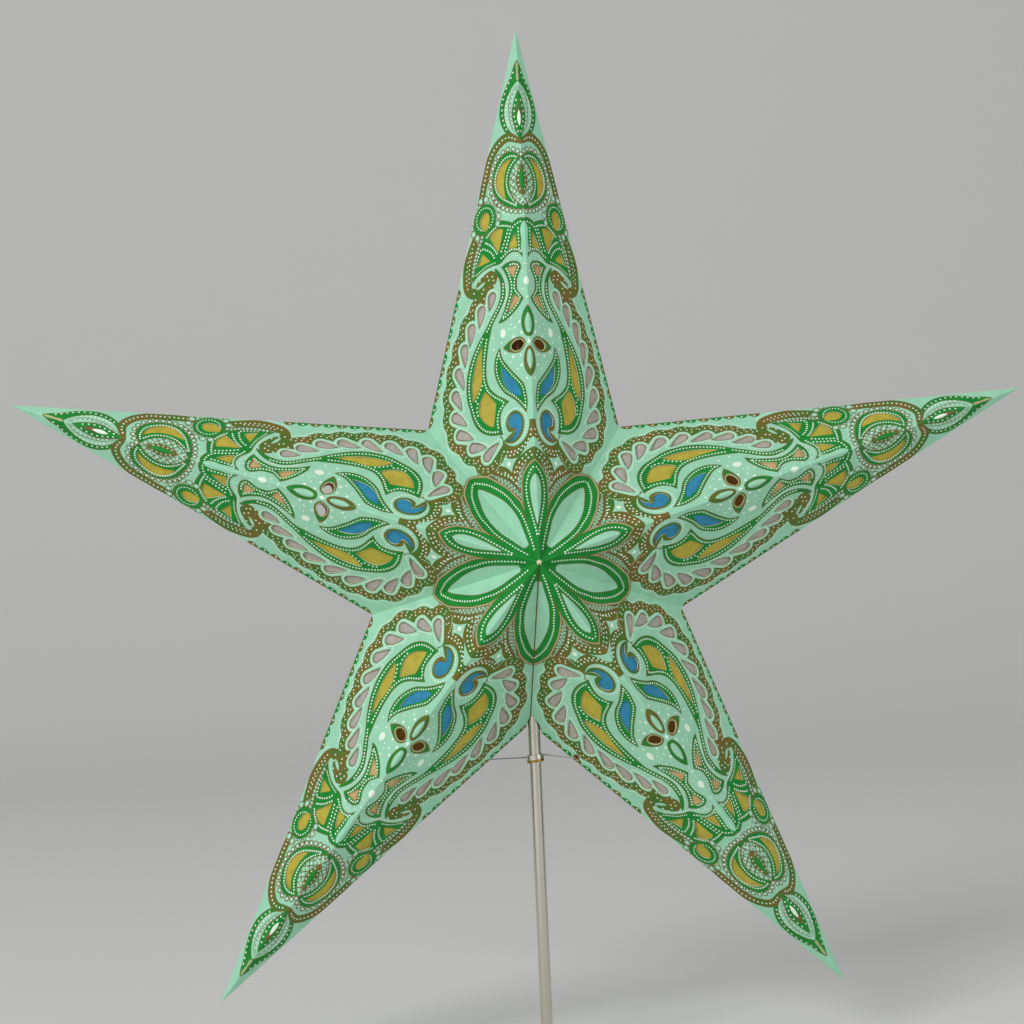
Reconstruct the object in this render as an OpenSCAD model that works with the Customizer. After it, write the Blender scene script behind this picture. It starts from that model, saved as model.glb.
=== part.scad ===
// Five-pointed folded paper star on a thin steel rod.
// Every arm is one sheet of printed card, folded into four panels and glued to its neighbours at
// the valleys. Only the two lower arms stay unglued: the rod comes out there, and a wire ties them.
// The star's front faces -Y, the rod stands on its foot at the origin and runs up along +Z.

/* [Star] */
// Distance from the star's centre to each tip
star_r = 300; // [240:5:340]
// Distance from the star's centre to each inner corner
inner_r = 92; // [84:1:100]
// Height of the front and back peaks above the star's middle plane
half_depth = 79; // [70:1:90]
// Height of the star's centre above the foot of the rod
star_height = 280; // [265:5:320]
// Lean of the star on its rod, clockwise seen from the front
star_lean = 1.3; // [0:0.1:2]

/* [Card] */
// Thickness of the card
card_t = 0.5; // [0.3:0.1:0.7]
// Width of the glued tabs that are turned in at the valleys
valley_tab_w = 8; // [5:0.5:10]
// Distance from the peak at which a valley tab starts
valley_tab_start = 16; // [12:1:24]
// Width of the glued tab inside each arm's left edge
edge_tab_w = 3.4; // [2.5:0.1:3.8]
// Gap between the two lower arms at the unglued seam
seam_gap = 1; // [0.6:0.2:1.6]
// Room left around the rod where it leaves the star
rod_room = 0.9; // [0.5:0.1:1.5]

/* [Windows] */
// Scale of every cut-out in the card
window_scale = 1; // [0.9:0.02:1.04]
// Thickness of the coloured tissue glued behind the cut-outs
tissue_t = 0.2; // [0.1:0.05:0.3]
// Margin of tissue around the row of drops
tissue_margin = 1.8; // [1.2:0.2:2]

/* [Rod] */
// Radius of the upper rod, which runs up inside the star
rod_r = 3.5; // [3:0.25:4]
// Radius of the lower rod
lower_rod_r = 3.3; // [2.8:0.1:3.8]
// Distance from the star's centre up to the rod's domed end
rod_reach = 246; // [200:1:250]
// Length of the bevel at the rod's foot
foot_bevel = 0.5; // [0.2:0.1:1]

/* [Collar] */
// Distance of the collar below the star's centre
collar_drop = 112; // [108:1:120]
// Outer radius of the steel ring
ring_r = 5.1; // [4.9:0.1:6]
// Height of the steel ring
ring_h = 2.6; // [2:0.1:4]
// Height of the brass lip under the steel ring
lip_h = 1.5; // [1:0.1:2.5]
// Wall of the brass bush inside the ring
bush_wall = 0.45; // [0.3:0.05:0.6]
// Clearance between the bush and the rod
bush_clear = 0.35; // [0.35:0.05:0.6]
// Tilt of the collar, right side up
collar_tilt = 7; // [0:0.5:7]

/* [Tie] */
// Radius of the tie wire
wire_r = 0.3; // [0.2:0.05:0.35]
// Distance of the eyelets from the inner corner along the arms' edges
eyelet_run = 32; // [28:1:40]
// Distance of the eyelets' flanges from the arms' edges
eyelet_margin = 1.2; // [1:0.1:2.5]
// Radius of the hole through an eyelet
eyelet_hole_r = 0.9; // [0.7:0.1:1.1]
// Wall of an eyelet's barrel
eyelet_wall = 0.35; // [0.25:0.05:0.5]
// Width of an eyelet's flange beyond its barrel
flange_w = 0.6; // [0.4:0.1:0.9]
// Thickness of an eyelet's flange
flange_t = 0.3; // [0.2:0.05:0.4]

/* [Hidden] */
ARM_NAMES = ["top", "right", "lower_right", "lower_left", "left"];
TINTS = ["lilac", "ochre", "blue", "salmon"];
ARMS = 5;
step = 360 / ARMS;
half_step = step / 2;
// The two arms beside the open seam
SEAM_RIGHT = 2;
SEAM_LEFT = 3;
$fn = 48;
tiny = 0.01;

// One panel lies flat with the peak at [0, 0], the ridge fold along +X and the inner corner above it
ridge_len = sqrt(pow(star_r, 2) + pow(half_depth, 2));
valley_len = sqrt(pow(inner_r, 2) + pow(half_depth, 2));
corner_u = (pow(half_depth, 2) + star_r * inner_r * cos(half_step)) / ridge_len;
corner_v = sqrt(pow(valley_len, 2) - pow(corner_u, 2));
edge_len = norm([ridge_len - corner_u, corner_v]);
ridge_slope = atan(half_depth / star_r);
panel_roll = asin(inner_r * sin(half_step) / corner_v);
valley_slope = atan(half_depth / inner_r);
PEAK = [0, 0];
TIP = [ridge_len, 0];
CORNER = [corner_u, corner_v];
// Unit vectors along the outer edge towards the tip, and square to it into the panel
edge_dir = (TIP - CORNER) / edge_len;
edge_in = [edge_dir[1], -edge_dir[0]];
// Angle between the front and back panels at an outer edge
edge_fold = 2 * atan(half_depth * edge_len / (star_r * inner_r * sin(half_step)));
// The glued tab starts this far from the edge, so that its far corner is in the middle of the back panel
edge_tab_start = card_t * (0.5 + 2 * cos(edge_fold)) / sin(edge_fold);

// Where two flat faces must clear each other a little
slack = 0.05;

// Rods and collar, by height above the foot
rod_top = star_height + rod_reach - rod_r;
collar_z = star_height - collar_drop;
joint_z = collar_z - lip_h - 1;
bush_r = rod_r + bush_clear;
// The wire runs through the back wall of the ring, close behind the bush
ring_hole_r = bush_r + bush_wall + slack;
wire_hole_r = wire_r + slack;
wire_y = ring_hole_r + wire_hole_r + slack;

// An eyelet's barrel, and its centre on a panel near the outer edge
barrel_r = eyelet_hole_r + eyelet_wall;
eyelet_flat = CORNER + eyelet_run * edge_dir + (barrel_r + flange_w + eyelet_margin) * edge_in;
// How far the wire reaches behind an eyelet and stands off before it, and the length of its hooks
wire_past = 1.4;
wire_off = 1;
hook_len = 2.4;
// The wire's path: a hook inside one eyelet, out through it, past the rod inside the ring's wall,
// and in through the other eyelet to its hook
WIRE_PATH = concat(
    wire_end(SEAM_LEFT),
    [collar_point(-ring_r), collar_point(ring_r)],
    [for (i = [2:-1:0]) wire_end(SEAM_RIGHT)[i]]
);

// The cut-outs of half an arm, laid out on a panel of this ridge length and stretched with it
LAYOUT_LEN = 310;
fit = ridge_len / LAYOUT_LEN;
// Each drop is its round end and its pointed end
DROPS = [
    [[156.5, 25.5], [149.5, 28]],
    [[150.5, 33.8], [141.5, 36]],
    [[142, 41.8], [132.5, 43.8]],
    [[131.5, 48], [121.5, 48.3]],
    [[119, 53.4], [109, 50]],
    [[106.5, 56.6], [97.5, 52.2]],
    [[94, 57], [87.5, 49]],
    [[83.2, 54], [78.5, 44.5]],
    [[73.6, 44.5], [71.5, 35]],
    [[66.5, 34.2], [72, 25.5]]
];
DROP_R = 2.7;
OCHRE_CUTS = [
    // Slender upper part and broad lower part of the paisley
    [[131, 34], [122, 39.6], [111, 43], [99.5, 43.4], [110, 35.6], [121, 35.2]],
    [[103.6, 33.6], [95, 25.8], [81.8, 28.2], [86.5, 35.4], [92, 38.6], [98, 37.6]],
    // Fan of three wedges, and the bean beside it
    [[190, 6.4], [186.5, 9.6], [181, 12.6], [181, 5.6]],
    [[194, 15.2], [195.4, 20.5], [192.6, 26.4], [181, 19.6]],
    [[184, 31.6], [177, 36], [178, 25.8]],
    [[208, 28], [204.5, 32.6], [199, 31.8], [196.6, 28.4], [200.5, 26], [205, 25.4]],
    // Crescent
    [[234, 6.4], [233, 13.6], [227.5, 18.8], [220, 19.4], [211.4, 12.2], [221, 13.4], [229.5, 10.8]]
];
BLUE_CUTS = [
    // Leaf and comma
    [[115.4, 20.8], [105, 19.6], [100, 16.4], [95.2, 7.2], [103, 10.4], [109, 15.8]],
    [[86.6, 13.6], [83.4, 18], [79.8, 17.2], [77.6, 13.2], [72.4, 20], [71.2, 15], [73.4, 10.4], [78.5, 7.8], [84, 9]]
];
SALMON_CUTS = [
    [[171.4, 14.4], [170.4, 6.2], [163.6, 9.4]],
    [[154.4, 9.6], [150.2, 4.8], [144.4, 14.8]]
];
// Open petals with nothing behind them
HOLE_CUTS = [
    [[124.6, 3.8], [127.4, 7], [127, 11], [125, 13.4], [122, 11], [121.8, 6.4]]
];
// Pieces of tissue behind the cut-outs, of each colour but the drops
OCHRE_PATCHES = [
    [[135, 33], [112, 46], [98, 46.2], [85, 39], [79, 27], [95, 22.6], [106, 32]],
    [[192, 3.6], [197.6, 14], [197.6, 21], [194.6, 28.8], [186, 34], [175, 38.6], [175.4, 24], [178.6, 3.6]],
    [[210.6, 27.4], [206, 33.6], [198, 33.8], [195.6, 30.4], [200, 23.8], [208, 23]],
    [[237, 4], [236, 15], [228.8, 21], [218, 21.8], [208, 11.2], [226, 8.6]]
];
BLUE_PATCHES = [
    [[118.4, 22.4], [104, 22.4], [93, 9], [93, 4.6], [104, 7.8], [112, 14.4]],
    [[89.6, 13.4], [85, 20.4], [71, 22.6], [68.6, 14.6], [71.6, 8], [78, 5.2], [86, 6.4]]
];
SALMON_PATCHES = [
    [[174, 17], [173, 3.8], [161, 3.2], [148, 2.2], [142, 16.4], [157, 12.4]]
];

// A drop as a pointed end and a round end of DROP_R, from five points
function drop_points(drop) =
    let (away = (drop[0] - drop[1]) / norm(drop[0] - drop[1]), side = [-away[1], away[0]])
    [
        drop[1],
        drop[0] - DROP_R * side,
        drop[0] + DROP_R * (0.8 * away - 0.7 * side),
        drop[0] + DROP_R * (0.8 * away + 0.7 * side),
        drop[0] + DROP_R * side
    ];
// The strip of tissue behind the drops follows their round ends out and their pointed ends back
function drop_strip_points() =
    let (last = len(DROPS) - 1, reach = DROP_R + tissue_margin)
    concat(
        [for (i = [0:last]) for (aside = [false, true])
            aside ? beside_drop(DROPS[i], 0, reach) : stretched_end(DROPS[i][1], DROPS[i][0], reach)],
        [beside_drop(DROPS[last], 1, tissue_margin)],
        [for (i = [last:-1:0]) stretched_end(DROPS[i][0], DROPS[i][1], tissue_margin)],
        [beside_drop(DROPS[0], 1, -tissue_margin), beside_drop(DROPS[0], 0, -reach)]
    );
// A point beside the round end (0) or the pointed end (1) of a drop
function beside_drop(drop, end, by) =
    let (away = (drop[0] - drop[1]) / norm(drop[0] - drop[1]))
    drop[end] + by * [-away[1], away[0]];
function stretched_end(from, to, more) = to + more * (to - from) / norm(to - from);
// Rotation matrices for points that other pieces need
function turned_x(p, a) = [p[0], p[1] * cos(a) - p[2] * sin(a), p[1] * sin(a) + p[2] * cos(a)];
function turned_y(p, a) = [p[0] * cos(a) + p[2] * sin(a), p[1], p[2] * cos(a) - p[0] * sin(a)];
// A point of a panel, depth inwards, in the frame of the whole part
function panel_point(arm, left, back, flat, depth) =
    let (
        rolled = turned_x([flat[0], flat[1], depth], -panel_roll),
        tilted = turned_x(turned_y(rolled, -90), -ridge_slope) - [0, half_depth, 0],
        sided = [(left ? -1 : 1) * tilted[0], (back ? -1 : 1) * tilted[1], tilted[2]],
        placed = turned_y(sided, arm * step + star_lean)
    )
    placed + [0, 0, star_height];

module place_star() {
    translate([0, 0, star_height])
        rotate([0, star_lean, 0])
            children();
}
module place_arm(arm) {
    place_star()
        rotate([0, arm * step, 0])
            children();
}
// Sides of an arm: left or right half, front or back
module place_panel(left, back) {
    mirror([left ? 1 : 0, 0, 0])
        mirror([0, back ? 1 : 0, 0])
            translate([0, -half_depth, 0])
                rotate([-ridge_slope, 0, 0])
                    rotate([0, -90, 0])
                        rotate([-panel_roll, 0, 0])
                            children();
}
// A valley's radial plane: +X along the valley from the peak, +Y into the star
module place_valley(left, back) {
    mirror([left ? 1 : 0, 0, 0])
        mirror([0, back ? 1 : 0, 0])
            rotate([0, half_step, 0])
                translate([0, -half_depth, 0])
                    rotate([0, -90, 0])
                        rotate([0, 0, valley_slope])
                            children();
}
module cuts(outlines) {
    scale(fit)
        for (outline = outlines) {
            middle = centre(outline);
            translate(middle)
                scale(window_scale)
                    translate(-middle)
                        polygon(outline);
        }
}
function centre(points) = [for (p = points) 1] * points / len(points);
module panel_2d() {
    difference() {
        polygon([PEAK, TIP, CORNER]);
        cuts([for (drop = DROPS) drop_points(drop)]);
        cuts(OCHRE_CUTS);
        cuts(BLUE_CUTS);
        cuts(SALMON_CUTS);
        cuts(HOLE_CUTS);
    }
}
// One panel of card, its outer face on the plane and its thickness inwards
module panel() {
    linear_extrude(card_t)
        panel_2d();
}
// Tab turned in along a valley, with slanting ends
module valley_tab(from, to) {
    linear_extrude(card_t)
        polygon([[from, 0], [to, 0], [to - 2 * valley_tab_w, valley_tab_w], [from + valley_tab_w, valley_tab_w]]);
}
// Tab folded over from the back panel and glued inside the front panel's outer edge
module edge_tab() {
    near = CORNER + valley_tab_w * edge_dir;
    far = TIP - 2 * valley_tab_w * edge_dir;
    translate([0, 0, card_t])
        linear_extrude(card_t)
            polygon([
                near + edge_tab_start * edge_in,
                far + edge_tab_start * edge_in,
                far + edge_tab_w * (edge_in - 2 * edge_dir),
                near + edge_tab_w * (edge_in + edge_dir)
            ]);
}
// Whether this side of an arm borders the open seam
function at_seam(arm, left) = (arm == SEAM_RIGHT && !left) || (arm == SEAM_LEFT && left);
// An arm keeps to its own fifth of the star
module sector() {
    far = 2 * star_r;
    rotate([90, 0, 0])
        linear_extrude(far, center = true)
            polygon([[0, 0], far * [sin(half_step), cos(half_step)], far * [-sin(half_step), cos(half_step)]]);
}
module arm_sheet(arm) {
    intersection() {
        sector();
        union() {
            for (left = [false, true]) for (back = [false, true]) {
                place_panel(left, back)
                    panel();
                place_valley(left, back)
                    translate([0, 0, at_seam(arm, left) ? seam_gap / 2 : 0])
                        valley_tab(valley_tab_start, valley_len - 1);
            }
            place_panel(true, false)
                edge_tab();
        }
    }
}
module arm_card(arm) {
    difference() {
        place_arm(arm)
            arm_sheet(arm);
        if (at_seam(arm, false) || at_seam(arm, true))
            seam_cut();
        if (arm == SEAM_RIGHT || arm == SEAM_LEFT)
            place_eyelet(arm)
                cylinder(r = barrel_r, h = 4 * card_t, center = true);
    }
}
// What the open seam takes from the two lower arms: a slit, and a round way out for the rod
module seam_cut() {
    place_star()
        translate([-seam_gap / 2, -star_r, -inner_r - star_r])
            cube([seam_gap, 2 * star_r, inner_r + star_r]);
    cylinder(r = rod_r + rod_room, h = star_height - inner_r / 2);
}
module arm_tissue(arm, outlines) {
    place_arm(arm)
        for (left = [false, true]) for (back = [false, true])
            place_panel(left, back)
                translate([0, 0, card_t])
                    linear_extrude(tissue_t)
                        scale(fit)
                            for (outline = outlines)
                                polygon(outline);
}
// The upper rod's domed end sits inside the fold of the top arm
module upper_rod() {
    color("lightgray") {
        translate([0, 0, joint_z])
            cylinder(r = rod_r, h = rod_top - joint_z);
        translate([0, 0, rod_top])
            sphere(r = rod_r);
    }
}
// The lower rod stands under the upper one, and their joint is close under the collar
module lower_rod() {
    color("gainsboro") {
        translate([0, 0, foot_bevel])
            cylinder(r = lower_rod_r, h = joint_z - foot_bevel);
        cylinder(r1 = lower_rod_r - foot_bevel, r2 = lower_rod_r, h = foot_bevel);
    }
}
module place_collar() {
    translate([0, 0, collar_z])
        rotate([0, -collar_tilt, 0])
            children();
}
module collar_ring() {
    color("silver")
        place_collar()
            difference() {
                cylinder(r = ring_r, h = ring_h);
                translate([0, 0, -tiny])
                    cylinder(r = ring_hole_r, h = ring_h + 2 * tiny);
                translate([0, wire_y, ring_h / 2])
                    rotate([0, 90, 0])
                        cylinder(r = wire_hole_r, h = 3 * ring_r, center = true);
            }
}
module collar_bush() {
    color("goldenrod")
        place_collar()
            difference() {
                union() {
                    translate([0, 0, -lip_h])
                        cylinder(r = ring_r - 0.15, h = lip_h);
                    cylinder(r = bush_r + bush_wall, h = ring_h);
                }
                translate([0, 0, -lip_h - tiny])
                    cylinder(r = bush_r, h = ring_h + lip_h + 2 * tiny);
            }
}
module place_eyelet(arm) {
    // The right eyelet is in the front panel, the left one in the back panel
    place_arm(arm)
        place_panel(arm == SEAM_LEFT, arm == SEAM_LEFT)
            translate([eyelet_flat[0], eyelet_flat[1], card_t / 2])
                children();
}
module eyelet(arm) {
    color("peru")
        place_eyelet(arm)
            difference() {
                union() {
                    cylinder(r = barrel_r, h = card_t + 2 * flange_t, center = true);
                    for (face = [-1, 1])
                        translate([0, 0, face * (card_t + flange_t) / 2])
                            cylinder(r = barrel_r + flange_w, h = flange_t, center = true);
                }
                cylinder(r = eyelet_hole_r, h = card_t + 3 * flange_t, center = true);
            }
}
function eyelet_point(arm, more, depth) =
    panel_point(arm, arm == SEAM_LEFT, arm == SEAM_LEFT, eyelet_flat + more, depth);
function collar_point(x) = turned_y([x, wire_y, ring_h / 2], -collar_tilt) + [0, 0, collar_z];
function wire_end(arm) = [
    eyelet_point(arm, hook_len * edge_in, card_t + wire_past),
    eyelet_point(arm, [0, 0], card_t + wire_past),
    eyelet_point(arm, [0, 0], -wire_off)
];
module tie_wire() {
    color("gray")
        for (i = [0:len(WIRE_PATH) - 2])
            hull()
                for (point = [WIRE_PATH[i], WIRE_PATH[i + 1]])
                    translate(point)
                        sphere(r = wire_r, $fn = 10);
}

module tinted_tissue(arm, tint) {
    if (tint == "lilac")
        color("thistle") arm_tissue(arm, [drop_strip_points()]);
    if (tint == "ochre")
        color("darkkhaki") arm_tissue(arm, OCHRE_PATCHES);
    if (tint == "blue")
        color("steelblue") arm_tissue(arm, BLUE_PATCHES);
    if (tint == "salmon")
        color("darksalmon") arm_tissue(arm, SALMON_PATCHES);
}

for (arm = [0:ARMS - 1]) {
    color("mediumaquamarine") arm_card(arm);
    for (tint = TINTS)
        tinted_tissue(arm, tint);
}
upper_rod();
lower_rod();
collar_ring();
collar_bush();
tie_wire();
eyelet(SEAM_LEFT);  // left_eyelet
eyelet(SEAM_RIGHT);  // right_eyelet
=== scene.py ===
import math

import bmesh
import bpy
from mathutils import Matrix, Vector, noise
from mathutils.geometry import delaunay_2d_cdt


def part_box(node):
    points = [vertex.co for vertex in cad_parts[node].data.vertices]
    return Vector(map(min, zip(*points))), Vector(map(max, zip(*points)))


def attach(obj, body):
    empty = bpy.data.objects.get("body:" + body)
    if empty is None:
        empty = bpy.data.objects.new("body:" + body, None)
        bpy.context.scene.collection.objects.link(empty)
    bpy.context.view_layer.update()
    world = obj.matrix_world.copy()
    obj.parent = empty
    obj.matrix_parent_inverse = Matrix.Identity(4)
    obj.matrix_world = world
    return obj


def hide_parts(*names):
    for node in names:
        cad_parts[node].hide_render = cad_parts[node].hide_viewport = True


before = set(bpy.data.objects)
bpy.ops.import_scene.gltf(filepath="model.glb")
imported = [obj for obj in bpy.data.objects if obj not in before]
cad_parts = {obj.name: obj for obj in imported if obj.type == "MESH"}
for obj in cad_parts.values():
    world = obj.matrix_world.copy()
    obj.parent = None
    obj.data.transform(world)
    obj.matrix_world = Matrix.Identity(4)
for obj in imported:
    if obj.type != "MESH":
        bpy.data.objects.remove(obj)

bl_info = {
    "name": "Folded Paper Star",
    "version": (1, 0, 0),
    "blender": (4, 5, 0),
    "location": "3D View > Sidebar > Paper Star",
    "description": "Dresses a five-pointed folded card star, its tissue windows and its steel rod",
    "category": "Add Mesh",
}

MM = 0.001
ARM_NAMES = ["top", "right", "lower_right", "lower_left", "left"]
# The two arms beside the open seam
SEAM_RIGHT = 2
SEAM_LEFT = 3
STEP = math.radians(360 / len(ARM_NAMES))
# The print and the cut-outs are laid out in mm on a half arm of this ridge length: u runs along the
# ridge from the peak to the tip, v runs across it towards the inner corner
LAYOUT_LENGTH = 310.0
MERGE = 0.004 * MM


class StarSizes(bpy.types.PropertyGroup):
    """Sizes of the star, the same as the solids'"""

    tip_radius: bpy.props.FloatProperty(
        name="Tip Radius", description="Distance from the centre to each tip",
        default=300 * MM, unit="LENGTH")
    inner_radius: bpy.props.FloatProperty(
        name="Inner Radius", description="Distance from the centre to each inner corner",
        default=92 * MM, unit="LENGTH")
    half_depth: bpy.props.FloatProperty(
        name="Half Depth", description="Height of the front and back peaks above the middle plane",
        default=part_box("top_arm_card")[1].y, unit="LENGTH")
    centre_height: bpy.props.FloatProperty(
        name="Centre Height", description="Height of the star's centre above the rod's foot",
        default=280 * MM, unit="LENGTH")
    lean: bpy.props.FloatProperty(
        name="Lean", description="Lean of the star on its rod, clockwise from the front",
        default=math.radians(1.3), subtype="ANGLE")
    card: bpy.props.FloatProperty(
        name="Card", description="Thickness of the card", default=0.5 * MM, unit="LENGTH")
    seam_gap: bpy.props.FloatProperty(
        name="Seam Gap", description="Gap between the two lower arms", default=0.7 * MM, unit="LENGTH")
    rod_way: bpy.props.FloatProperty(
        name="Rod Way", description="Radius of the way out for the rod", default=4.4 * MM, unit="LENGTH")
    tab_width: bpy.props.FloatProperty(
        name="Tab Width", description="Width of the glued tabs in the valleys", default=8 * MM,
        unit="LENGTH")
    edge_tab_width: bpy.props.FloatProperty(
        name="Edge Tab Width", description="Width of the glued tab inside an arm's left edge",
        default=3.4 * MM, unit="LENGTH")
    eyelet_run: bpy.props.FloatProperty(
        name="Eyelet Run", description="Distance along the edge from an inner corner to an eyelet",
        default=32 * MM, unit="LENGTH")
    eyelet_inset: bpy.props.FloatProperty(
        name="Eyelet Inset", description="Distance from the outer edge to an eyelet's centre",
        default=3.05 * MM, unit="LENGTH")
    eyelet_hole: bpy.props.FloatProperty(
        name="Eyelet Hole", description="Radius of the hole that takes an eyelet",
        default=1.25 * MM, unit="LENGTH")
    tissue: bpy.props.FloatProperty(
        name="Tissue", description="Thickness of the glued tissue", default=0.2 * MM, unit="LENGTH")
    wrinkle: bpy.props.FloatProperty(
        name="Wrinkle", description="Height of the tissue's wrinkles", default=0.5 * MM, unit="LENGTH")
    fold_width: bpy.props.FloatProperty(
        name="Fold Width", description="Width of the rounding on each side of a ridge",
        default=0.9 * MM, unit="LENGTH")
    bulge: bpy.props.FloatProperty(
        name="Bulge", description="How far the panels bow out between their folds",
        default=0.8 * MM, unit="LENGTH")


class StarColours(bpy.types.PropertyGroup):
    """Colours of the card, the inks and the tissue, as sRGB hex"""

    card: bpy.props.StringProperty(name="Card", description="Mint card", default="#9AD3B3")
    green: bpy.props.StringProperty(name="Green", description="Green ink", default="#15832F")
    olive: bpy.props.StringProperty(name="Olive", description="Olive ink", default="#3F7628")
    # This colour is also the colour of the inside's painted glow
    inside: bpy.props.StringProperty(name="Inside", description="Undyed inner face of the card",
        default="#A07C3C")
    umber: bpy.props.StringProperty(name="Umber", description="Olive ink where it lies thin",
        default="#766026")
    brown: bpy.props.StringProperty(name="Brown", description="Brown ink", default="#6E5E34")
    straw: bpy.props.StringProperty(name="Straw", description="Straw ink", default="#ABAE80")
    white: bpy.props.StringProperty(name="White", description="Pale ink of the dots", default="#E6F3E2")
    edge: bpy.props.StringProperty(name="Edge", description="Cut edge of the card", default="#D9D8B8")
    lilac: bpy.props.StringProperty(name="Lilac", description="Lilac grey tissue", default="#AEA8A1")
    ochre: bpy.props.StringProperty(name="Ochre", description="Ochre tissue", default="#B5A840")
    blue: bpy.props.StringProperty(name="Blue", description="Blue tissue", default="#2F87AC")
    salmon: bpy.props.StringProperty(name="Salmon", description="Salmon tissue", default="#C4A670")


class StageSettings(bpy.types.PropertyGroup):
    """Camera"""

    distance: bpy.props.FloatProperty(
        name="Distance", description="From the camera to the star's middle plane",
        default=1.5, unit="LENGTH")
    view_width: bpy.props.FloatProperty(
        name="View Width", description="Width of the picture at the star's middle plane",
        default=1.5 * 1024 / 2659, unit="LENGTH")
    yaw: bpy.props.FloatProperty(
        name="Yaw", description="Turn of the view about the vertical",
        default=math.radians(-4.67), subtype="ANGLE")
    pitch: bpy.props.FloatProperty(
        name="Pitch", description="Tilt of the view", default=math.radians(0.26), subtype="ANGLE")
    roll: bpy.props.FloatProperty(
        name="Roll", description="Roll of the view", default=math.radians(1.22), subtype="ANGLE")
    aside: bpy.props.FloatProperty(
        name="Aside", description="Star's offset to the right in the view",
        default=8.2 * MM, unit="LENGTH")
    below: bpy.props.FloatProperty(
        name="Below", description="Star's offset down in the view",
        default=27.4 * MM, unit="LENGTH")


# Materials


def linear(colour):
    """The linear colour of an sRGB hex value."""
    parts = [int(colour[i:i + 2], 16) / 255 for i in (1, 3, 5)]
    return [c / 12.92 if c <= 0.04045 else ((c + 0.055) / 1.055) ** 2.4 for c in parts] + [1.0]


def add_node(material, kind, inputs, **settings):
    """Adds a node with its settings. An input is a value, or the output of another node."""
    node = material.node_tree.nodes.new(kind)
    for name, value in settings.items():
        setattr(node, name, value)
    for name, value in inputs.items():
        if isinstance(value, bpy.types.NodeSocket):
            material.node_tree.links.new(value, node.inputs[name])
        else:
            node.inputs[name].default_value = value
    return node


def new_material(name):
    """An empty node material with its Principled shader."""
    material = bpy.data.materials.new(name)
    material.use_nodes = True
    return material, material.node_tree.nodes["Principled BSDF"]


def paper(name, colour, mottle, grain, roughness, bump, second=None):
    """Paper or ink on paper: cloudy dye over a few mm, fine fibres and a felted surface."""
    material, shader = new_material(name)
    place = add_node(material, "ShaderNodeTexCoord", {}).outputs["Object"]
    clouds = add_node(
        material, "ShaderNodeTexNoise", {"Vector": place, "Scale": 1 / (9 * MM), "Detail": 3.0})
    fibres = add_node(
        material, "ShaderNodeTexNoise",
        {"Vector": place, "Scale": 1 / (grain * MM), "Detail": 4.0, "Roughness": 0.7, "Distortion": 1.5})
    both = add_node(
        material, "ShaderNodeMath", {0: clouds.outputs["Fac"], 1: fibres.outputs["Fac"]}, operation="ADD")
    tint = linear(colour)
    low = [c * (1 - mottle) for c in tint[:3]] + [1.0]
    high = [min(1.0, c * (1 + mottle)) for c in linear(second or colour)[:3]] + [1.0]
    reach = 0.14 if second else 0.25
    spread = add_node(
        material, "ShaderNodeMapRange", {"Value": both.outputs[0], "From Min": 1 - reach,
        "From Max": 1 + reach})
    mix = add_node(
        material, "ShaderNodeMix", {0: spread.outputs[0], 6: low, 7: high}, data_type="RGBA")
    material.node_tree.links.new(mix.outputs[2], shader.inputs["Base Color"])
    relief = add_node(
        material, "ShaderNodeBump",
        {"Height": fibres.outputs["Fac"], "Strength": bump, "Distance": 0.15 * MM})
    material.node_tree.links.new(relief.outputs[0], shader.inputs["Normal"])
    shader.inputs["Roughness"].default_value = roughness
    # Felted paper and matt ink have little gloss
    shader.inputs["Specular IOR Level"].default_value = 0.2
    return material


def tissue(name, colour):
    """Handmade tissue: long tangled fibres, a cloudy thickness and a soft sheen where it is creased."""
    material, shader = new_material(name)
    place = add_node(material, "ShaderNodeTexCoord", {}).outputs["Object"]
    clouds = add_node(
        material, "ShaderNodeTexNoise", {"Vector": place, "Scale": 1 / (5 * MM), "Detail": 4.0})
    fibres = add_node(
        material, "ShaderNodeTexNoise",
        {"Vector": place, "Scale": 1 / (1.1 * MM), "Detail": 3.0, "Roughness": 0.6, "Distortion": 2.5})
    both = add_node(
        material, "ShaderNodeMath", {0: clouds.outputs["Fac"], 1: fibres.outputs["Fac"]}, operation="ADD")
    tint = linear(colour)
    spread = add_node(
        material, "ShaderNodeMapRange", {"Value": both.outputs[0], "From Min": 0.7, "From Max": 1.3})
    mix = add_node(
        material, "ShaderNodeMix",
        {0: spread.outputs[0], 6: [c * 0.82 for c in tint[:3]] + [1.0],
         7: [min(1.0, c * 1.16) for c in tint[:3]] + [1.0]}, data_type="RGBA")
    material.node_tree.links.new(mix.outputs[2], shader.inputs["Base Color"])
    relief = add_node(
        material, "ShaderNodeBump",
        {"Height": fibres.outputs["Fac"], "Strength": 0.6, "Distance": 0.12 * MM})
    material.node_tree.links.new(relief.outputs[0], shader.inputs["Normal"])
    shader.inputs["Roughness"].default_value = 0.62
    shader.inputs["Specular IOR Level"].default_value = 0.25
    return material


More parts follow.
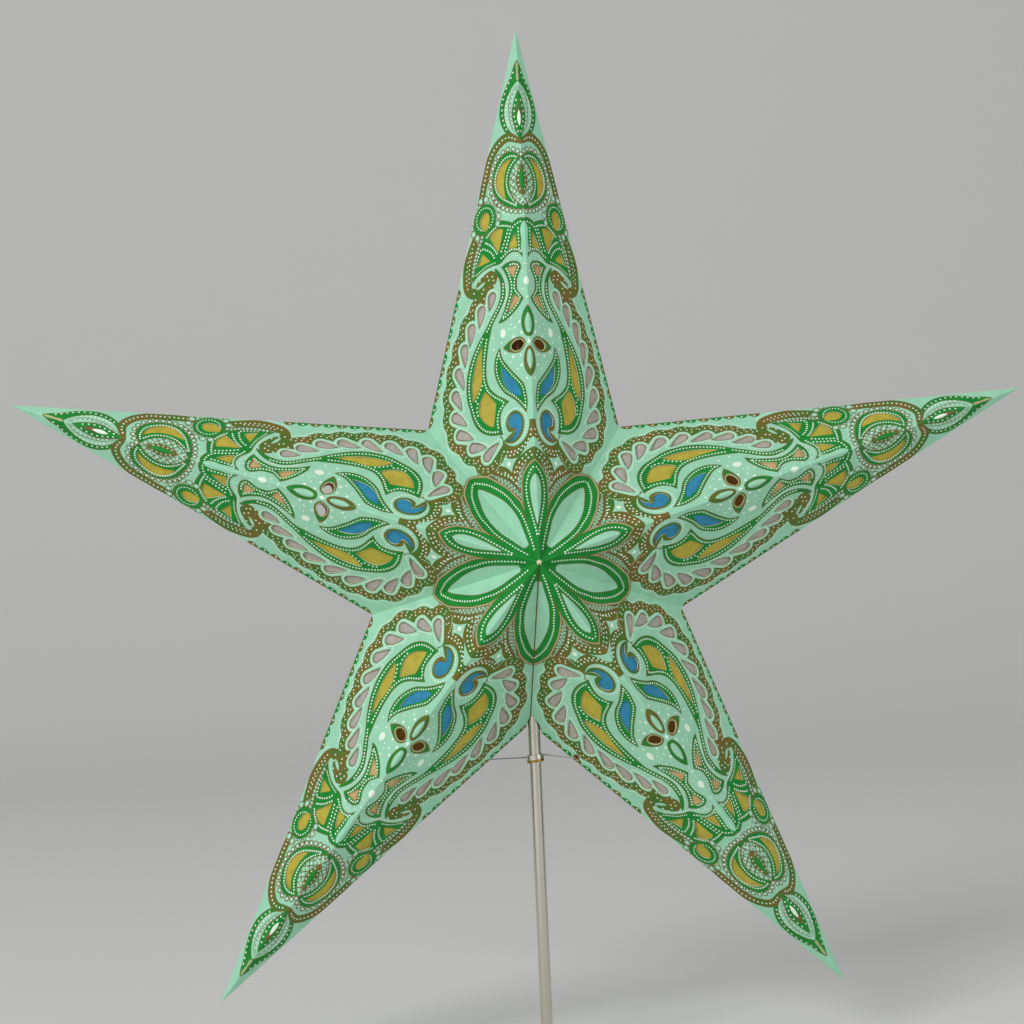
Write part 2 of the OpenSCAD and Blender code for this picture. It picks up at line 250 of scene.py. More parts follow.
def drawn_metal(name, colour, roughness, streak):
    """Metal drawn or turned along its length: fine streaks in colour, gloss and relief."""
    material, shader = new_material(name)
    place = add_node(material, "ShaderNodeTexCoord", {}).outputs["Object"]
    along = add_node(material, "ShaderNodeMapping", {"Vector": place, "Scale": (1.0, 1.0, 0.02)})
    streaks = add_node(
        material, "ShaderNodeTexNoise",
        {"Vector": along.outputs[0], "Scale": 1 / (streak * MM), "Detail": 5.0, "Roughness": 0.6})
    tint = linear(colour)
    mix = add_node(
        material, "ShaderNodeMix",
        {0: streaks.outputs["Fac"], 6: [c * 0.8 for c in tint[:3]] + [1.0], 7: tint}, data_type="RGBA")
    material.node_tree.links.new(mix.outputs[2], shader.inputs["Base Color"])
    gloss = add_node(
        material, "ShaderNodeMapRange",
        {"Value": streaks.outputs["Fac"], "To Min": roughness * 0.7, "To Max": roughness * 1.3})
    material.node_tree.links.new(gloss.outputs[0], shader.inputs["Roughness"])
    relief = add_node(
        material, "ShaderNodeBump",
        {"Height": streaks.outputs["Fac"], "Strength": 0.15, "Distance": 0.05 * MM})
    material.node_tree.links.new(relief.outputs[0], shader.inputs["Normal"])
    shader.inputs["Metallic"].default_value = 1.0
    return material


def card_materials(colours):
    """Cotton card dyed mint, four screen-printed inks on it, its cream cut edge and its plain inside, which
    has a faint painted glow.
    """
    inside = paper("card_inside_painted_glow", colours.inside, 0.05, 0.7, 0.8, 0.3)
    # Painted glow: a faint emission stands in for the light that comes through the card and the tissue, and
    # keeps the inside a dim brown
    shader = inside.node_tree.nodes["Principled BSDF"]
    shader.inputs["Emission Color"].default_value = linear(colours.inside)
    shader.inputs["Emission Strength"].default_value = 0.13
    return {
        "card": paper("mint_dyed_card", colours.card, 0.07, 0.7, 0.72, 0.35),
        "green": paper("green_screen_ink", colours.green, 0.14, 0.7, 0.6, 0.3),
        "olive": paper("olive_screen_ink", colours.olive, 0.04, 0.7, 0.6, 0.3, colours.umber),
        "brown": paper("brown_screen_ink", colours.brown, 0.12, 0.7, 0.55, 0.3),
        "white": paper("pale_screen_ink", colours.white, 0.04, 0.7, 0.5, 0.3),
        "straw": paper("straw_screen_ink", colours.straw, 0.12, 0.7, 0.55, 0.3),
        "edge": paper("cream_cut_edge", colours.edge, 0.08, 0.4, 0.85, 0.5),
        "inside": inside,
    }


# Plane figures, in mm on the layout


def points(pairs):
    return [Vector(pair) for pair in pairs]


def tangents(path, closed, sharp):
    """Incoming and outgoing unit tangents at each point. At a sharp point each side ends as an arc would."""
    count = len(path)
    middle = []
    for i, here in enumerate(path):
        before, after = path[i - 1], path[(i + 1) % count]
        back, on = here - before, after - here
        middle.append((back.normalized() * on.length + on.normalized() * back.length).normalized())
    pointed = set(i % count for i in sharp) | (set() if closed else {0, count - 1})
    arriving, leaving = list(middle), list(middle)
    for i in pointed:
        for step, side in ((-1, arriving), (1, leaving)):
            other = (i + step) % count
            chord = (path[i] - path[other]).normalized() * (1 if step < 0 else -1)
            if other in pointed:
                side[i] = chord
            else:
                side[i] = chord * 2 * chord.dot(middle[other]) - middle[other]
    return arriving, leaving


def curve(path, closed=False, sharp=(), fine=1.5):
    """A smooth line through the points, with a point about every fine mm."""
    arriving, leaving = tangents(path, closed, sharp)
    line = []
    for i in range(len(path) if closed else len(path) - 1):
        a, b = path[i], path[(i + 1) % len(path)]
        reach = (b - a).length
        start, end = leaving[i] * reach, arriving[(i + 1) % len(path)] * reach
        steps = max(2, round(reach / fine))
        for k in range(steps):
            t = k / steps
            line.append(
                a * (2 * t ** 3 - 3 * t ** 2 + 1) + start * (t ** 3 - 2 * t ** 2 + t)
                + b * (3 * t ** 2 - 2 * t ** 3) + end * (t ** 3 - t ** 2))
    if not closed:
        line.append(path[-1].copy())
    return line


def area(loop):
    return sum(a.cross(b) for a, b in zip(loop, loop[1:] + loop[:1])) / 2


def grown(loop, by):
    """The loop moved outwards by this much, or inwards if it is negative."""
    turn = 1 if area(loop) > 0 else -1
    moved = []
    for i, here in enumerate(loop):
        back = (here - loop[i - 1]).normalized()
        on = (loop[(i + 1) % len(loop)] - here).normalized()
        out = Vector((back.y + on.y, -back.x - on.x)) * turn
        if out.length < 0.2:
            out = (back - on) if (back - on).length else out
        out.normalize()
        lean = max(0.5, out.dot(Vector((on.y, -on.x)) * turn))
        moved.append(here + out * (by / lean))
    return moved


def ring(middle, radius, sides, turn=0.0):
    reach = (radius, radius) if isinstance(radius, (int, float)) else radius
    angles = [2 * math.pi * (i + 0.5) / sides + turn for i in range(sides)]
    return [Vector(middle) + Vector((reach[0] * math.cos(a), reach[1] * math.sin(a))) for a in angles]


def spaced(line, spacing, closed=False):
    """Points at even distances along a line, each with the direction there."""
    if closed:
        line = line + line[:1]
    lengths = [(b - a).length for a, b in zip(line, line[1:])]
    total = sum(lengths)
    count = max(1, round(total / spacing))
    gap = total / count
    places = [(k + (0 if closed else 0.5)) * gap for k in range(count)]
    found, passed, i = [], 0.0, 0
    for place in places:
        while i < len(lengths) - 1 and passed + lengths[i] < place:
            passed += lengths[i]
            i += 1
        way = (line[i + 1] - line[i]).normalized()
        found.append((line[i] + way * (place - passed), way))
    return found


def strip(line, widths):
    """A closed loop around an open line, whose half width changes evenly through the given values."""
    last = len(line) - 1
    left, right = [], []
    for i, here in enumerate(line):
        way = (line[min(i + 1, last)] - line[max(i - 1, 0)]).normalized()
        side = Vector((-way.y, way.x))
        place = i / last * (len(widths) - 1)
        k = min(int(place), len(widths) - 2)
        half = widths[k] + (widths[k + 1] - widths[k]) * (place - k)
        left.append(here + side * half)
        right.append(here - side * half)
    return left + right[::-1]


class Print:
    """Shapes printed on half an arm, later ones over earlier ones."""

    def __init__(self):
        self.shapes = []

    def fill(self, ink, loop):
        self.shapes.append((ink, loop))

    def shape(self, ink, path, sharp=()):
        """A field with a smooth outline through the points."""
        self.fill(ink, curve(points(path), True, sharp))

    def bordered(self, ink, path, sharp=()):
        self.edged(ink, curve(points(path), True, sharp))

    def row(self, path, spacing=2.2, radius=0.6):
        """A row of pale dots along a smooth line."""
        self.dots(curve(points(path)), spacing, radius)

    def edged(self, ink, loop, line="brown", width=0.45):
        """A field with a line around it."""
        self.fill(line, grown(loop, width))
        self.fill(ink, loop)

    def dots(self, line, spacing=2.2, radius=0.6, closed=False, ink="white"):
        for at, way in spaced(line, spacing, closed):
            self.fill(ink, ring(at, radius, 6))


# Cut-outs, with the same places and outlines as in the solids, but with rounded sides

DROPS = [
    [[156.5, 25.5], [149.5, 28]],
    [[150.5, 33.8], [141.5, 36]],
    [[142, 41.8], [132.5, 43.8]],
    [[131.5, 48], [121.5, 48.3]],
    [[119, 53.4], [109, 50]],
    [[106.5, 56.6], [97.5, 52.2]],
    [[94, 57], [87.5, 49]],
    [[83.2, 54], [78.5, 44.5]],
    [[73.6, 44.5], [71.5, 35]],
    [[66.5, 34.2], [72, 25.5]],
]
DROP_R = 2.7
# Each outline is its points and the ones that are pointed
OCHRE_CUTS = [
    ([[131, 34], [122, 39.6], [111, 43], [99.5, 43.4], [110, 35.6], [121, 35.2]], [0, 3]),
    ([[103.6, 33.6], [95, 25.8], [81.8, 28.2], [86.5, 35.4], [92, 38.6], [98, 37.6]], [0, 1, 2]),
    ([[190, 6.4], [186.5, 9.6], [181, 12.6], [181, 5.6]], [0, 2, 3]),
    ([[194, 15.2], [195.4, 20.5], [192.6, 26.4], [181, 19.6]], [0, 2, 3]),
    ([[184, 31.6], [177, 36], [178, 25.8]], [0, 1, 2]),
    ([[208, 28], [204.5, 32.6], [199, 31.8], [196.6, 28.4], [200.5, 26], [205, 25.4]], []),
    ([[234, 6.4], [233, 13.6], [227.5, 18.8], [220, 19.4], [211.4, 12.2], [221, 13.4], [229.5, 10.8]],
    [0, 4]),
]
BLUE_CUTS = [
    ([[115.4, 20.8], [105, 19.6], [100, 16.4], [95.2, 7.2], [103, 10.4], [109, 15.8]], [0, 3]),
    ([[86.6, 13.6], [83.4, 18], [79.8, 17.2], [77.6, 13.2], [72.4, 20], [71.2, 15], [73.4, 10.4],
      [78.5, 7.8], [84, 9]], [4]),
]
SALMON_CUTS = [
    ([[171.4, 14.4], [170.4, 6.2], [163.6, 9.4]], [0, 1, 2]),
    ([[154.4, 9.6], [150.2, 4.8], [144.4, 14.8]], [0, 1, 2]),
]
HOLE_CUTS = [
    ([[124.6, 3.8], [127.4, 7], [127, 11], [125, 13.4], [122, 11], [121.8, 6.4]], [0]),
]
# Pieces of tissue, cut by hand with straight sides
OCHRE_PATCHES = [
    [[135, 33], [112, 46], [98, 46.2], [85, 39], [79, 27], [95, 22.6], [106, 32]],
    [[192, 3.6], [197.6, 14], [197.6, 21], [194.6, 28.8], [186, 34], [175, 38.6], [175.4, 24], [178.6, 3.6]],
    [[210.6, 27.4], [206, 33.6], [198, 33.8], [195.6, 30.4], [200, 23.8], [208, 23]],
    [[237, 4], [236, 15], [228.8, 21], [218, 21.8], [208, 11.2], [226, 8.6]],
]
BLUE_PATCHES = [
    [[118.4, 22.4], [104, 22.4], [93, 9], [93, 4.6], [104, 7.8], [112, 14.4]],
    [[89.6, 13.4], [85, 20.4], [71, 22.6], [68.6, 14.6], [71.6, 8], [78, 5.2], [86, 6.4]],
]
SALMON_PATCHES = [
    [[174, 17], [173, 3.8], [161, 3.2], [148, 2.2], [142, 16.4], [157, 12.4]],
]
DROP_MARGIN = 1.8


def teardrop(drop, radius, reach=0.0):
    """A round end, and sides that run in to a point which bends a little to one side."""
    head, tail = points(drop)
    away = (head - tail).normalized()
    side = Vector((-away.y, away.x))
    tail = tail - away * reach
    length = (head - tail).length
    half = math.acos(-radius / length)
    loop = []
    for k in range(13):
        angle = half * (k / 6 - 1)
        loop.append(head + (away * math.cos(angle) + side * math.sin(angle)) * radius)
    first, last = loop[0], loop[-1]
    for start, end, bend in ((last, tail, -0.02), (tail, first, 0.09)):
        middle = start.lerp(end, 0.5) - side * bend * length
        loop.extend(curve([start, middle, end], False, [], 1.5)[1:-1])
        if end == tail:
            loop.append(tail)
    return loop


def drop_loop(drop):
    return teardrop(drop, DROP_R)


def drop_patch():
    """The strip of tissue behind the drops, which follows their round ends out and their points back."""
    out, back = [], []
    reach = DROP_R + DROP_MARGIN
    for head, tail in (points(drop) for drop in DROPS):
        away = (head - tail).normalized()
        side = Vector((-away.y, away.x))
        if not out:
            start = [tail - side * DROP_MARGIN, head - side * reach]
        out.extend([head + away * reach, head + side * reach])
        back.append(tail - away * DROP_MARGIN)
    return out + [tail + side * DROP_MARGIN] + back[::-1] + start


def cut_loops():
    loops = [drop_loop(drop) for drop in DROPS]
    for outline, sharp in OCHRE_CUTS + BLUE_CUTS + SALMON_CUTS + HOLE_CUTS:
        loops.append(curve(points(outline), True, sharp, 1.2))
    return loops


def beside(line, by):
    """An open line moved sideways, to its left if the distance is positive."""
    last = len(line) - 1
    moved = []
    for i, here in enumerate(line):
        way = (line[min(i + 1, last)] - line[max(i - 1, 0)]).normalized()
        moved.append(here + Vector((-way.y, way.x)) * by)
    return moved


def capsule(tail, head, start, end):
    """A loop around the line between two points, wider at its head."""
    away = (head - tail).normalized()
    side = Vector((-away.y, away.x))
    loop = []
    for spot, reach, turn in ((head, end, -90), (tail, start, 90)):
        for k in range(7):
            angle = math.radians(turn + 30 * k)
            loop.append(spot + (away * math.cos(angle) + side * math.sin(angle)) * reach)
    return loop


def off_segment(spot, tail, head):
    """Distance from a point to the line between two others."""
    along = head - tail
    share = max(0.0, min(1.0, (spot - tail).dot(along) / along.length_squared))
    return (spot - tail - along * share).length


def print_drop_band(work, flat):
    """Olive band around the row of drops, with a pale surround around each drop."""
    drops = [points(drop) for drop in DROPS]
    heads = [drop[0] for drop in drops]
    line = curve(heads)
    # Leaves that the outer edge cuts through
    corner, tip = flat.corner / flat.fit, flat.tip / flat.fit
    edge = (tip - corner).normalized()
    inwards = Vector((edge.y, -edge.x))
    for k in range(11):
        spot = corner + edge * (4.5 + 7.3 * k)
        work.fill("green" if k % 2 else "olive", leaf_at(spot, edge, inwards))
        work.fill("white", ring(spot + inwards * 1.5, 0.6, 6))
    for head in heads:
        work.fill("olive", ring(head, 9.8, 26))
    work.fill("olive", beside(line, -8.4) + beside(line, 1.5)[::-1])
    for reach, gap, radius, turn in ((7.0, 3.4, 0.52, 0.0), (8.7, 3.9, 0.48, 0.5), (11.0, 1.5, 0.4, 0.0)):
        for head in heads:
            count = round(2 * math.pi * reach / gap)
            for spot in ring(head, reach, count, 2 * math.pi * turn / count):
                clear = min(off_segment(spot, drop[1], drop[0]) for drop in drops) > 6.2
                others = min((spot - other).length for other in heads if other != head)
                if clear and others > reach - 0.6:
                    work.fill("white", ring(spot, radius, 5))
    # Behind the drops' points the card is plain again
    tails = curve([drop[1] for drop in drops])
    work.fill("card", beside(tails, -2.8) + beside(tails, 7)[::-1])
    work.shape("card", [(74, 24), (79, 25), (86, 40), (92, 45), (86, 49), (78, 43), (73.5, 33)])
    work.shape("card", [(168, 18), (162, 24), (154, 28), (148, 33), (140, 39), (132, 42), (132, 36),
        (148, 22)])
    for head, tail in drops:
        work.fill("card", capsule(tail, head, 3.4, 5.2))
    for head, tail in drops:
        for at, way in spaced(capsule(tail, head, 2.4, 4.1), 1.3, True):
            near = [off_segment(at, other[1], other[0]) for other in drops if other[0] != head]
            if min(near) > 3.1:
                work.fill("white", ring(at, 0.42, 5))
    # Brown ring around each drop: printed ink, made wide and dark to also stand in for the shadow of the cut
    # edge, so partly painted shade
    for drop in DROPS:
        work.fill("brown", teardrop(drop, DROP_R + 0.5, 0.8))


def leaf_at(middle, along, across):
    """A blunt leaf around a point of the outer edge."""
    shape = [(-3.7, 0.2), (-2.6, 1.8), (0, 3.0), (2.2, 2.6), (3.5, 0.6), (3.5, -3), (-3.7, -3)]
    return [middle + along * a + across * b for a, b in shape]


def print_field(work):
    """Olive field between the petals and the drops, with a pale wedge and square in it."""
    field = points([
        (80, -1), (80, 8), (77, 20), (72, 30), (67, 40), (62, 43), (57.5, 41.5), (55.5, 38), (53.5, 33),
        (50.5, 27.5), (46.5, 21.5), (43.5, 17.5), (40, 14.8), (37, 12), (33, 10), (40, 10), (45, 9.8),
        (49, 9), (52, 7.4), (55, 4), (57, -1)])
    work.edged("olive", field)
    work.shape("card", [(70.5, -1), (69.8, 2), (66.5, 5), (61.2, 10.2), (63.7, 5), (65, -1)], [0, 3, 5])
    work.shape("card", [
        (61, 11.8), (61.4, 17.2), (63.6, 21.6), (60.8, 23.1), (59.5, 26.2), (57.3, 20.8), (53.4, 16.4),
        (57.8, 15)],
        [0, 2, 4, 6])
    work.fill("white", ring((58.6, 18.5), 1.4, 10))
    for spot, radius in (((60.4, 14.6), 0.4), ((61.8, 20.4), 0.4), ((56, 17.4), 0.4), ((59.4, 23.4), 0.4)):
        work.fill("white", ring(spot, radius, 5))


def print_rosette(work, flat):
    """Ten petals round the peak with a straw line around each, and lace between them."""
    corner = flat.corner.normalized()

    def mirrored(path):
        """The path followed by its mirror image over the valley."""
        return path + [corner * 2 * corner.dot(p) - p for p in path[::-1]]

    work.shape("green", [(30, -1), (34, 9.8), (32.6, 10.2), (34, 40), (-2, 4), (-2, -1)], [0, 1, 2, 3, 4, 5])
    petal = curve(points([(31.5, 8.6), (35, 9), (40, 9.2), (45, 9), (49, 8.3), (52, 6.5), (55, 3),
        (56.5, 0)]))
    valley = curve(points([
        (31, 10), (35, 11.5), (38, 14), (40, 16), (43, 19), (46, 22.5), (49, 27), (52, 31.5), (54.5, 36),
        (55.6, 41), (56.2, 44.5), (56.2, 48.1)]))
    # Lace: a brown zigzag over a pale strip beside both petals
    for line, side in ((petal[:-3], 1), (valley[:-9], -1)):
        middle = beside(line, side * 2.9)
        for at, way in spaced(middle, 2.9):
            work.fill("brown", ring(at + Vector((-way.y, way.x)) * side * 0.9, 1.7, 10))
        work.fill("brown", strip(middle, [0.3, 1.5, 2.0, 2.0, 1.5, 0.6]))
        work.fill("card", strip(middle, [0.0, 0.9, 1.4, 1.5, 1.1, 0.2]))
        zigzag = []
        for k, (at, way) in enumerate(spaced(middle, 1.45)):
            zigzag.append(at + Vector((-way.y, way.x)) * (1.6 if k % 2 else -1.4) * side)
        for start, end in zip(zigzag, zigzag[1:]):
            work.fill("brown", strip([start, end], [0.3, 0.3]))
    work.row([(60.6, 0.6), (59.6, 3.5), (57.6, 7), (55, 10.6), (52, 13.2)], 2.6)
    work.row([(63, 1.5), (61.6, 5), (59.4, 9), (57, 11.8), (53, 14.6), (49, 13.2)], 3.1)
    work.row([(46, 13), (49.5, 16.2), (52.5, 19), (55, 22.6)], 2.9)
    work.row([(49.6, 15.6), (53, 21.6), (56.6, 28)], 3.1)
    work.row([(76, 1.5), (71, 2.4), (67.6, 6.6), (65.2, 12), (65.4, 18), (67, 23)], 2.7)
    work.row([(68.6, 3.4), (64.8, 8.6), (63.2, 15), (64, 21.4)], 3.0)
    for line in (petal[:-1] + [Vector((p.x, -p.y)) for p in petal[::-1]], mirrored(valley)):
        near = [Vector((18, 2)), Vector((18, -2))] if line[0].y < 9 else [Vector((12, 13)), Vector((14, 7))]
        line = line + near if line[0].y < 9 else line
        work.fill("brown", grown(line, 1.6))
        work.fill("straw", grown(line, 1.2))
        work.fill("brown", grown(line, 0.45))
        work.fill("green", line)
    work.shape("green", [(22, -1), (31.5, 8.6), (31, 10), (34, 40), (-2, 4), (-2, -1)], [0, 1, 2, 3, 4, 5])
    work.shape("olive", [(34, 9.8), (29, 8.7), (22, 5.2), (27.5, 9.2)], [0, 2])
    pale = curve(points([(21, -0.6), (22, 0.3), (25, 1.2), (30, 2.5), (35, 3.5), (40, 4), (45, 3.7),
        (48, 2.2), (49.8, -0.6)]))
    work.edged("card", pale, "brown", 0.4)
    half = curve(points([
        (11.4, 7), (15, 8.5), (20, 10.5), (25, 12.5), (30, 15.5), (35, 19.5), (40, 25), (43, 29.5),
        (46, 34.5), (48.2, 38.6), (49.5, 42.4)]))
    work.edged("card", mirrored(half), "brown", 0.4)
    work.row([
        (53.8, 0.5), (52, 3), (49, 5), (45, 6.5), (41, 6.8), (37, 6.4), (33, 5.6), (29, 4.3), (25, 3.2),
        (21, 2), (15, 0.5)], 1.9)
    work.row([
        (7, 3), (10, 3.8), (14, 5), (19.5, 7), (25, 9.2), (30.5, 12.2), (35, 16), (40, 20), (44.3, 25),
        (48, 30.5), (50, 34), (51.6, 38), (52.8, 42), (53.6, 45.6)], 1.9)
    # The peak is rubbed down to the card's core
    work.fill("edge", ring((0, 0), 1.6, 12))


def print_paisleys(work):
    """Comma, big paisley, hourglass, leaf and flower, on the plain middle of the arm."""
    # Comma in a dotted ring
    work.fill("card", ring((79.5, 13), (11.6, 10.6), 40))
    work.dots(ring((79.5, 13), (9.7, 8.9), 40), 1.75, 0.5, True)
    work.shape("olive", [
        (88, 13.6), (84.4, 18.8), (80.4, 19.4), (76.6, 17), (76.4, 14), (72.4, 21.4), (70, 17),
        (70.6, 11), (74, 7.6), (79, 6.2), (84.4, 7.4)], [4, 5])
    # Big paisley, whose stalk runs up beside the hourglass
    work.bordered("green", [
        (172.5, 22.5), (170, 22), (166, 19.5), (160, 18.5), (155, 19), (150, 21.5), (145, 26), (140, 30),
        (131, 38), (122, 43.8), (112, 47), (102, 47), (95, 45), (90, 43.5), (85, 41), (81, 37), (78, 31),
        (77, 25), (76.5, 22), (80, 23), (86, 23.5), (90, 22), (94, 17), (96, 20), (100, 26), (105, 30.5),
        (110, 32.2), (118, 32.2), (126, 30.8), (134, 28.6), (140, 26.5), (145, 22.5), (150, 18.5),
        (155, 16), (160, 15.8), (165, 17), (170, 20)], [0, 18, 22])
    work.row([(163, 17), (159.5, 17.1), (155.5, 17.5), (151, 19.6), (146, 23.6), (141, 27.6),
        (137, 30.8)], 1.9)
    work.row([
        (135, 33.2), (131, 36.3), (122, 42), (112, 45.3), (102, 45.3), (95, 43.4), (90, 41.8),
        (85.4, 39), (82, 35.8), (79.5, 30.5), (78.6, 24.6)], 1.9)
    work.row([
        (134, 30.6), (126, 32.6), (118, 33.9), (110, 33.9), (104.6, 32.2), (99.5, 27.6), (96.4, 23),
        (94.2, 20.4), (90, 24), (86, 25.3), (80, 24.8)], 1.9)
    work.row([(108.5, 35.2), (104, 37.6), (99, 41.6)], 2.1)
    work.row([(99, 38.8), (95, 40.2), (90, 39.2)], 2.1)
    # Plain line between the stalk and the hourglass
    work.row([(168, 17.9), (164, 15.2), (159, 14.2), (154, 15), (149, 17.6), (144, 21.4)], 1.5, 0.25)
    work.bordered("green", [
        (173.3, 14), (172, 17.3), (169, 15.3), (165, 13.5), (160, 12.3), (155, 12.8), (150, 15),
        (145, 17.5), (140.5, 21), (140.5, 18), (142, 14), (145, 8.5), (148, 5), (150.3, 3), (153, 5),
        (156, 7), (160, 7.2), (163, 6.8), (166, 5), (169, 3.7), (171.5, 5), (173, 8)], [1, 8, 13])
    work.row([
        (171.2, 14.8), (168, 12.9), (164, 11.6), (160, 10.7), (155.6, 11.2), (151, 13), (146.5, 15.2),
        (142.6, 18.2)], 1.8)
    work.row([
        (142, 18.6), (143.6, 14), (146.4, 9.4), (149, 6.4), (151, 5), (154, 7), (157, 8.8), (160.6, 8.8),
        (164, 8), (167, 6.3), (169.6, 5.2), (171.4, 7.4), (171.9, 12)], 1.8)
    # Leaf
    leaf = [
        (125.4, 21.6), (120, 25), (113, 25.8), (106, 23.6), (100, 19.5), (95, 13), (90, 8), (85.5, 4.5),
        (92, 3.5), (97, 4.4), (101.4, 5.6), (105, 8.6), (109.6, 12.8), (114.4, 16.8), (119, 20)]
    work.bordered("green", leaf, [0, 7])
    work.dots(grown(curve(points(leaf), True, [0, 7], 2.2), -1.2), 1.9, 0.55, True)
    # Flower
    for tip, root, half, pale, ink in ((145.5, 128, 4.6, 2.6, "green"), (105, 122, 4.2, 2.2, "olive")):
        middle = root + (tip - root) * 0.42
        work.bordered(ink, [(tip, 0), (middle, half), (root, 0), (middle, -half)], [0])
        end = tip - (tip - root) * 0.22
        work.bordered("card", [(end, 0), (middle, pale), (root + (tip - root) * 0.1, 0),
            (middle, -pale)], [0])
    work.bordered("olive", [(125, 2.8), (128.4, 6.5), (128.4, 11), (125.2, 18.4), (121, 11.5),
        (120.8, 6.5)], [0, 3])
    work.shape("green", [(125.2, 17.2), (126.8, 14), (124.6, 13.6), (123.4, 14.4)], [0])
    outline, sharp = HOLE_CUTS[0]
    work.fill("straw", grown(curve(points(outline), True, sharp), 0.6))
    work.fill("white", ring((133.7, 18.6), (2.6, 2.0), 14))
    for u, v, radius in (
            (160, 0, 2.4), (125, 0, 1.2), (131, 5.2, 0.9), (137.4, 6.2, 0.9), (137.2, 12.5, 0.5),
            (135, 9.5, 0.6), (130, 11.1, 0.85), (128.4, 19.9, 0.6), (121.9, 17.8, 0.65),
            (118.7, 12.1, 0.9), (118.5, 6.7, 0.7), (112.5, 6.4, 0.85), (115.9, 14.2, 0.6),
            (110.9, 9.3, 0.6), (104.3, 3, 0.7), (126, 26, 0.6), (133, 26, 0.6), (141, 12, 0.5),
            (135, 14, 0.5), (170, 1, 0.45), (166, 2.5, 0.45), (155.6, 3, 0.45), (150.6, 0.6, 0.5),
            (173.6, 3.8, 0.45), (175, 8, 0.45), (174.6, 12.5, 0.45)):
        work.fill("white", ring((u, v), radius, 8))


def print_fan(work):
    """Curled wing over the first drops, and the fan of three arches above it."""
    # Wing
    work.bordered("olive", [
        (173, 29), (171.4, 34), (168.5, 38), (165, 44), (161.5, 43), (159.6, 40), (157.4, 36),
        (154, 31.4), (160, 29.6), (164.6, 26), (165.2, 22), (168.6, 21.6), (171.6, 25)], [7, 10])
    work.shape("card", [(167, 30), (165.8, 35), (164, 37.4), (164.4, 33)], [0, 2])
    for u, v in (
            (168.6, 24.8), (169.8, 28.6), (166.2, 24), (168.4, 34.2), (165.4, 37.4), (162.4, 39),
            (162.6, 42), (160.8, 33), (158.4, 38), (162.8, 31.6), (157.4, 31.4), (171, 31.5),
            (167.3, 27.6)):
        work.fill("white", ring((u, v), 0.55, 6))
    # Olive band that runs from the wing up the outer edge
    work.bordered("olive", [
        (166, 40.4), (172, 41.2), (180, 39.6), (188, 37), (196, 34.4), (197, 37), (190, 41.6), (180, 46.2),
        (172, 47), (165, 46), (161, 41.5)], [4, 5])
    for path in (
            [(165, 43.4), (172, 44.6), (180, 43.4), (189, 39.6), (195, 36)],
            [(168.6, 42.6), (174, 42.6), (181, 41.4), (188, 38.6)]):
        work.row(path, 2.6, 0.5)
    work.row([(162.6, 47), (168, 48.3), (174, 48.6), (182, 46.6), (190, 43)], 1.6, 0.4)
    # Pale band under the fan
    work.shape("card", [
        (174, -1), (178, 6), (178.6, 11), (177, 14), (174.7, 18), (174.6, 24), (173.6, 31), (171, 36),
        (167.5, 40.6), (165.6, 40), (169, 34.6), (171.5, 30), (172.8, 23), (172.6, 19), (174.8, 14),
        (175.6, 9), (174, 5)], [0, 8])
    work.row([(175.6, 5), (176.6, 10), (174.6, 15.4), (173.6, 21), (172.6, 29), (169.6, 35)], 1.6, 0.35)
    # Fan
    work.bordered("green", [
        (174.6, 2.2), (178.6, 6), (179, 11), (177.4, 14.6), (175, 18), (175, 24), (174, 31),
        (171.6, 36.6), (169.4, 39.6), (176, 40.4), (184, 38.4), (190, 35.6), (193.6, 31), (197, 26.4),
        (199.2, 22), (199.6, 18), (198, 13), (195.6, 8.4), (197.2, 4), (196.6, 0.6), (186, 2.6)],
        [0, 8, 17])
    work.row([(192.6, 4.4), (186, 4.4), (180, 4.2), (177, 3.2)], 1.9)
    work.row([(195, 1.6), (195, 3.4), (194, 7.4), (192.6, 9.2), (186.6, 12), (180, 15)], 2.1)
    work.row([(193.6, 11.4), (187, 14.4), (180.6, 18)], 2.1)
    work.row([(178.6, 4), (180, 7), (180.2, 12), (178.4, 15.6), (177.4, 18.4)], 1.8)
    work.row([(193.8, 9.6), (195.4, 13), (196.6, 17), (196.8, 20), (195.4, 24), (192.2, 28.6)], 1.6)
    work.row([(180.5, 20.4), (183.6, 22.2), (187, 25.2), (190, 29.6)], 1.6)
    work.row([(178.4, 22.6), (182.6, 25), (185.4, 28.6), (186.7, 32.4), (183.6, 34.6), (180.6, 36),
        (177, 37.4)], 1.9)
    work.row([(176.2, 21.6), (176, 25), (175.6, 29), (174, 33.6), (172.4, 37.6)], 1.4, 0.45)
    # Lace up the outer side of the fan
    under = curve(points([(172, 39.6), (180, 38), (188, 34.8), (194, 31.6), (199, 33.6)]))
    work.fill("brown", strip(under, [1.2, 1.6, 1.6, 1.4]))
    for at, way in spaced(under, 2.3):
        work.fill("card", ring(at, (0.9, 1.1), 6, math.atan2(way.y, way.x)))
    # Pale spear on the ridge, with its own stalk
    work.shape("card", [(175.4, -1), (176, 1.6), (185, 2.5), (193, 2.2), (194.8, 0.6), (194.8, -1)], [0, 5])


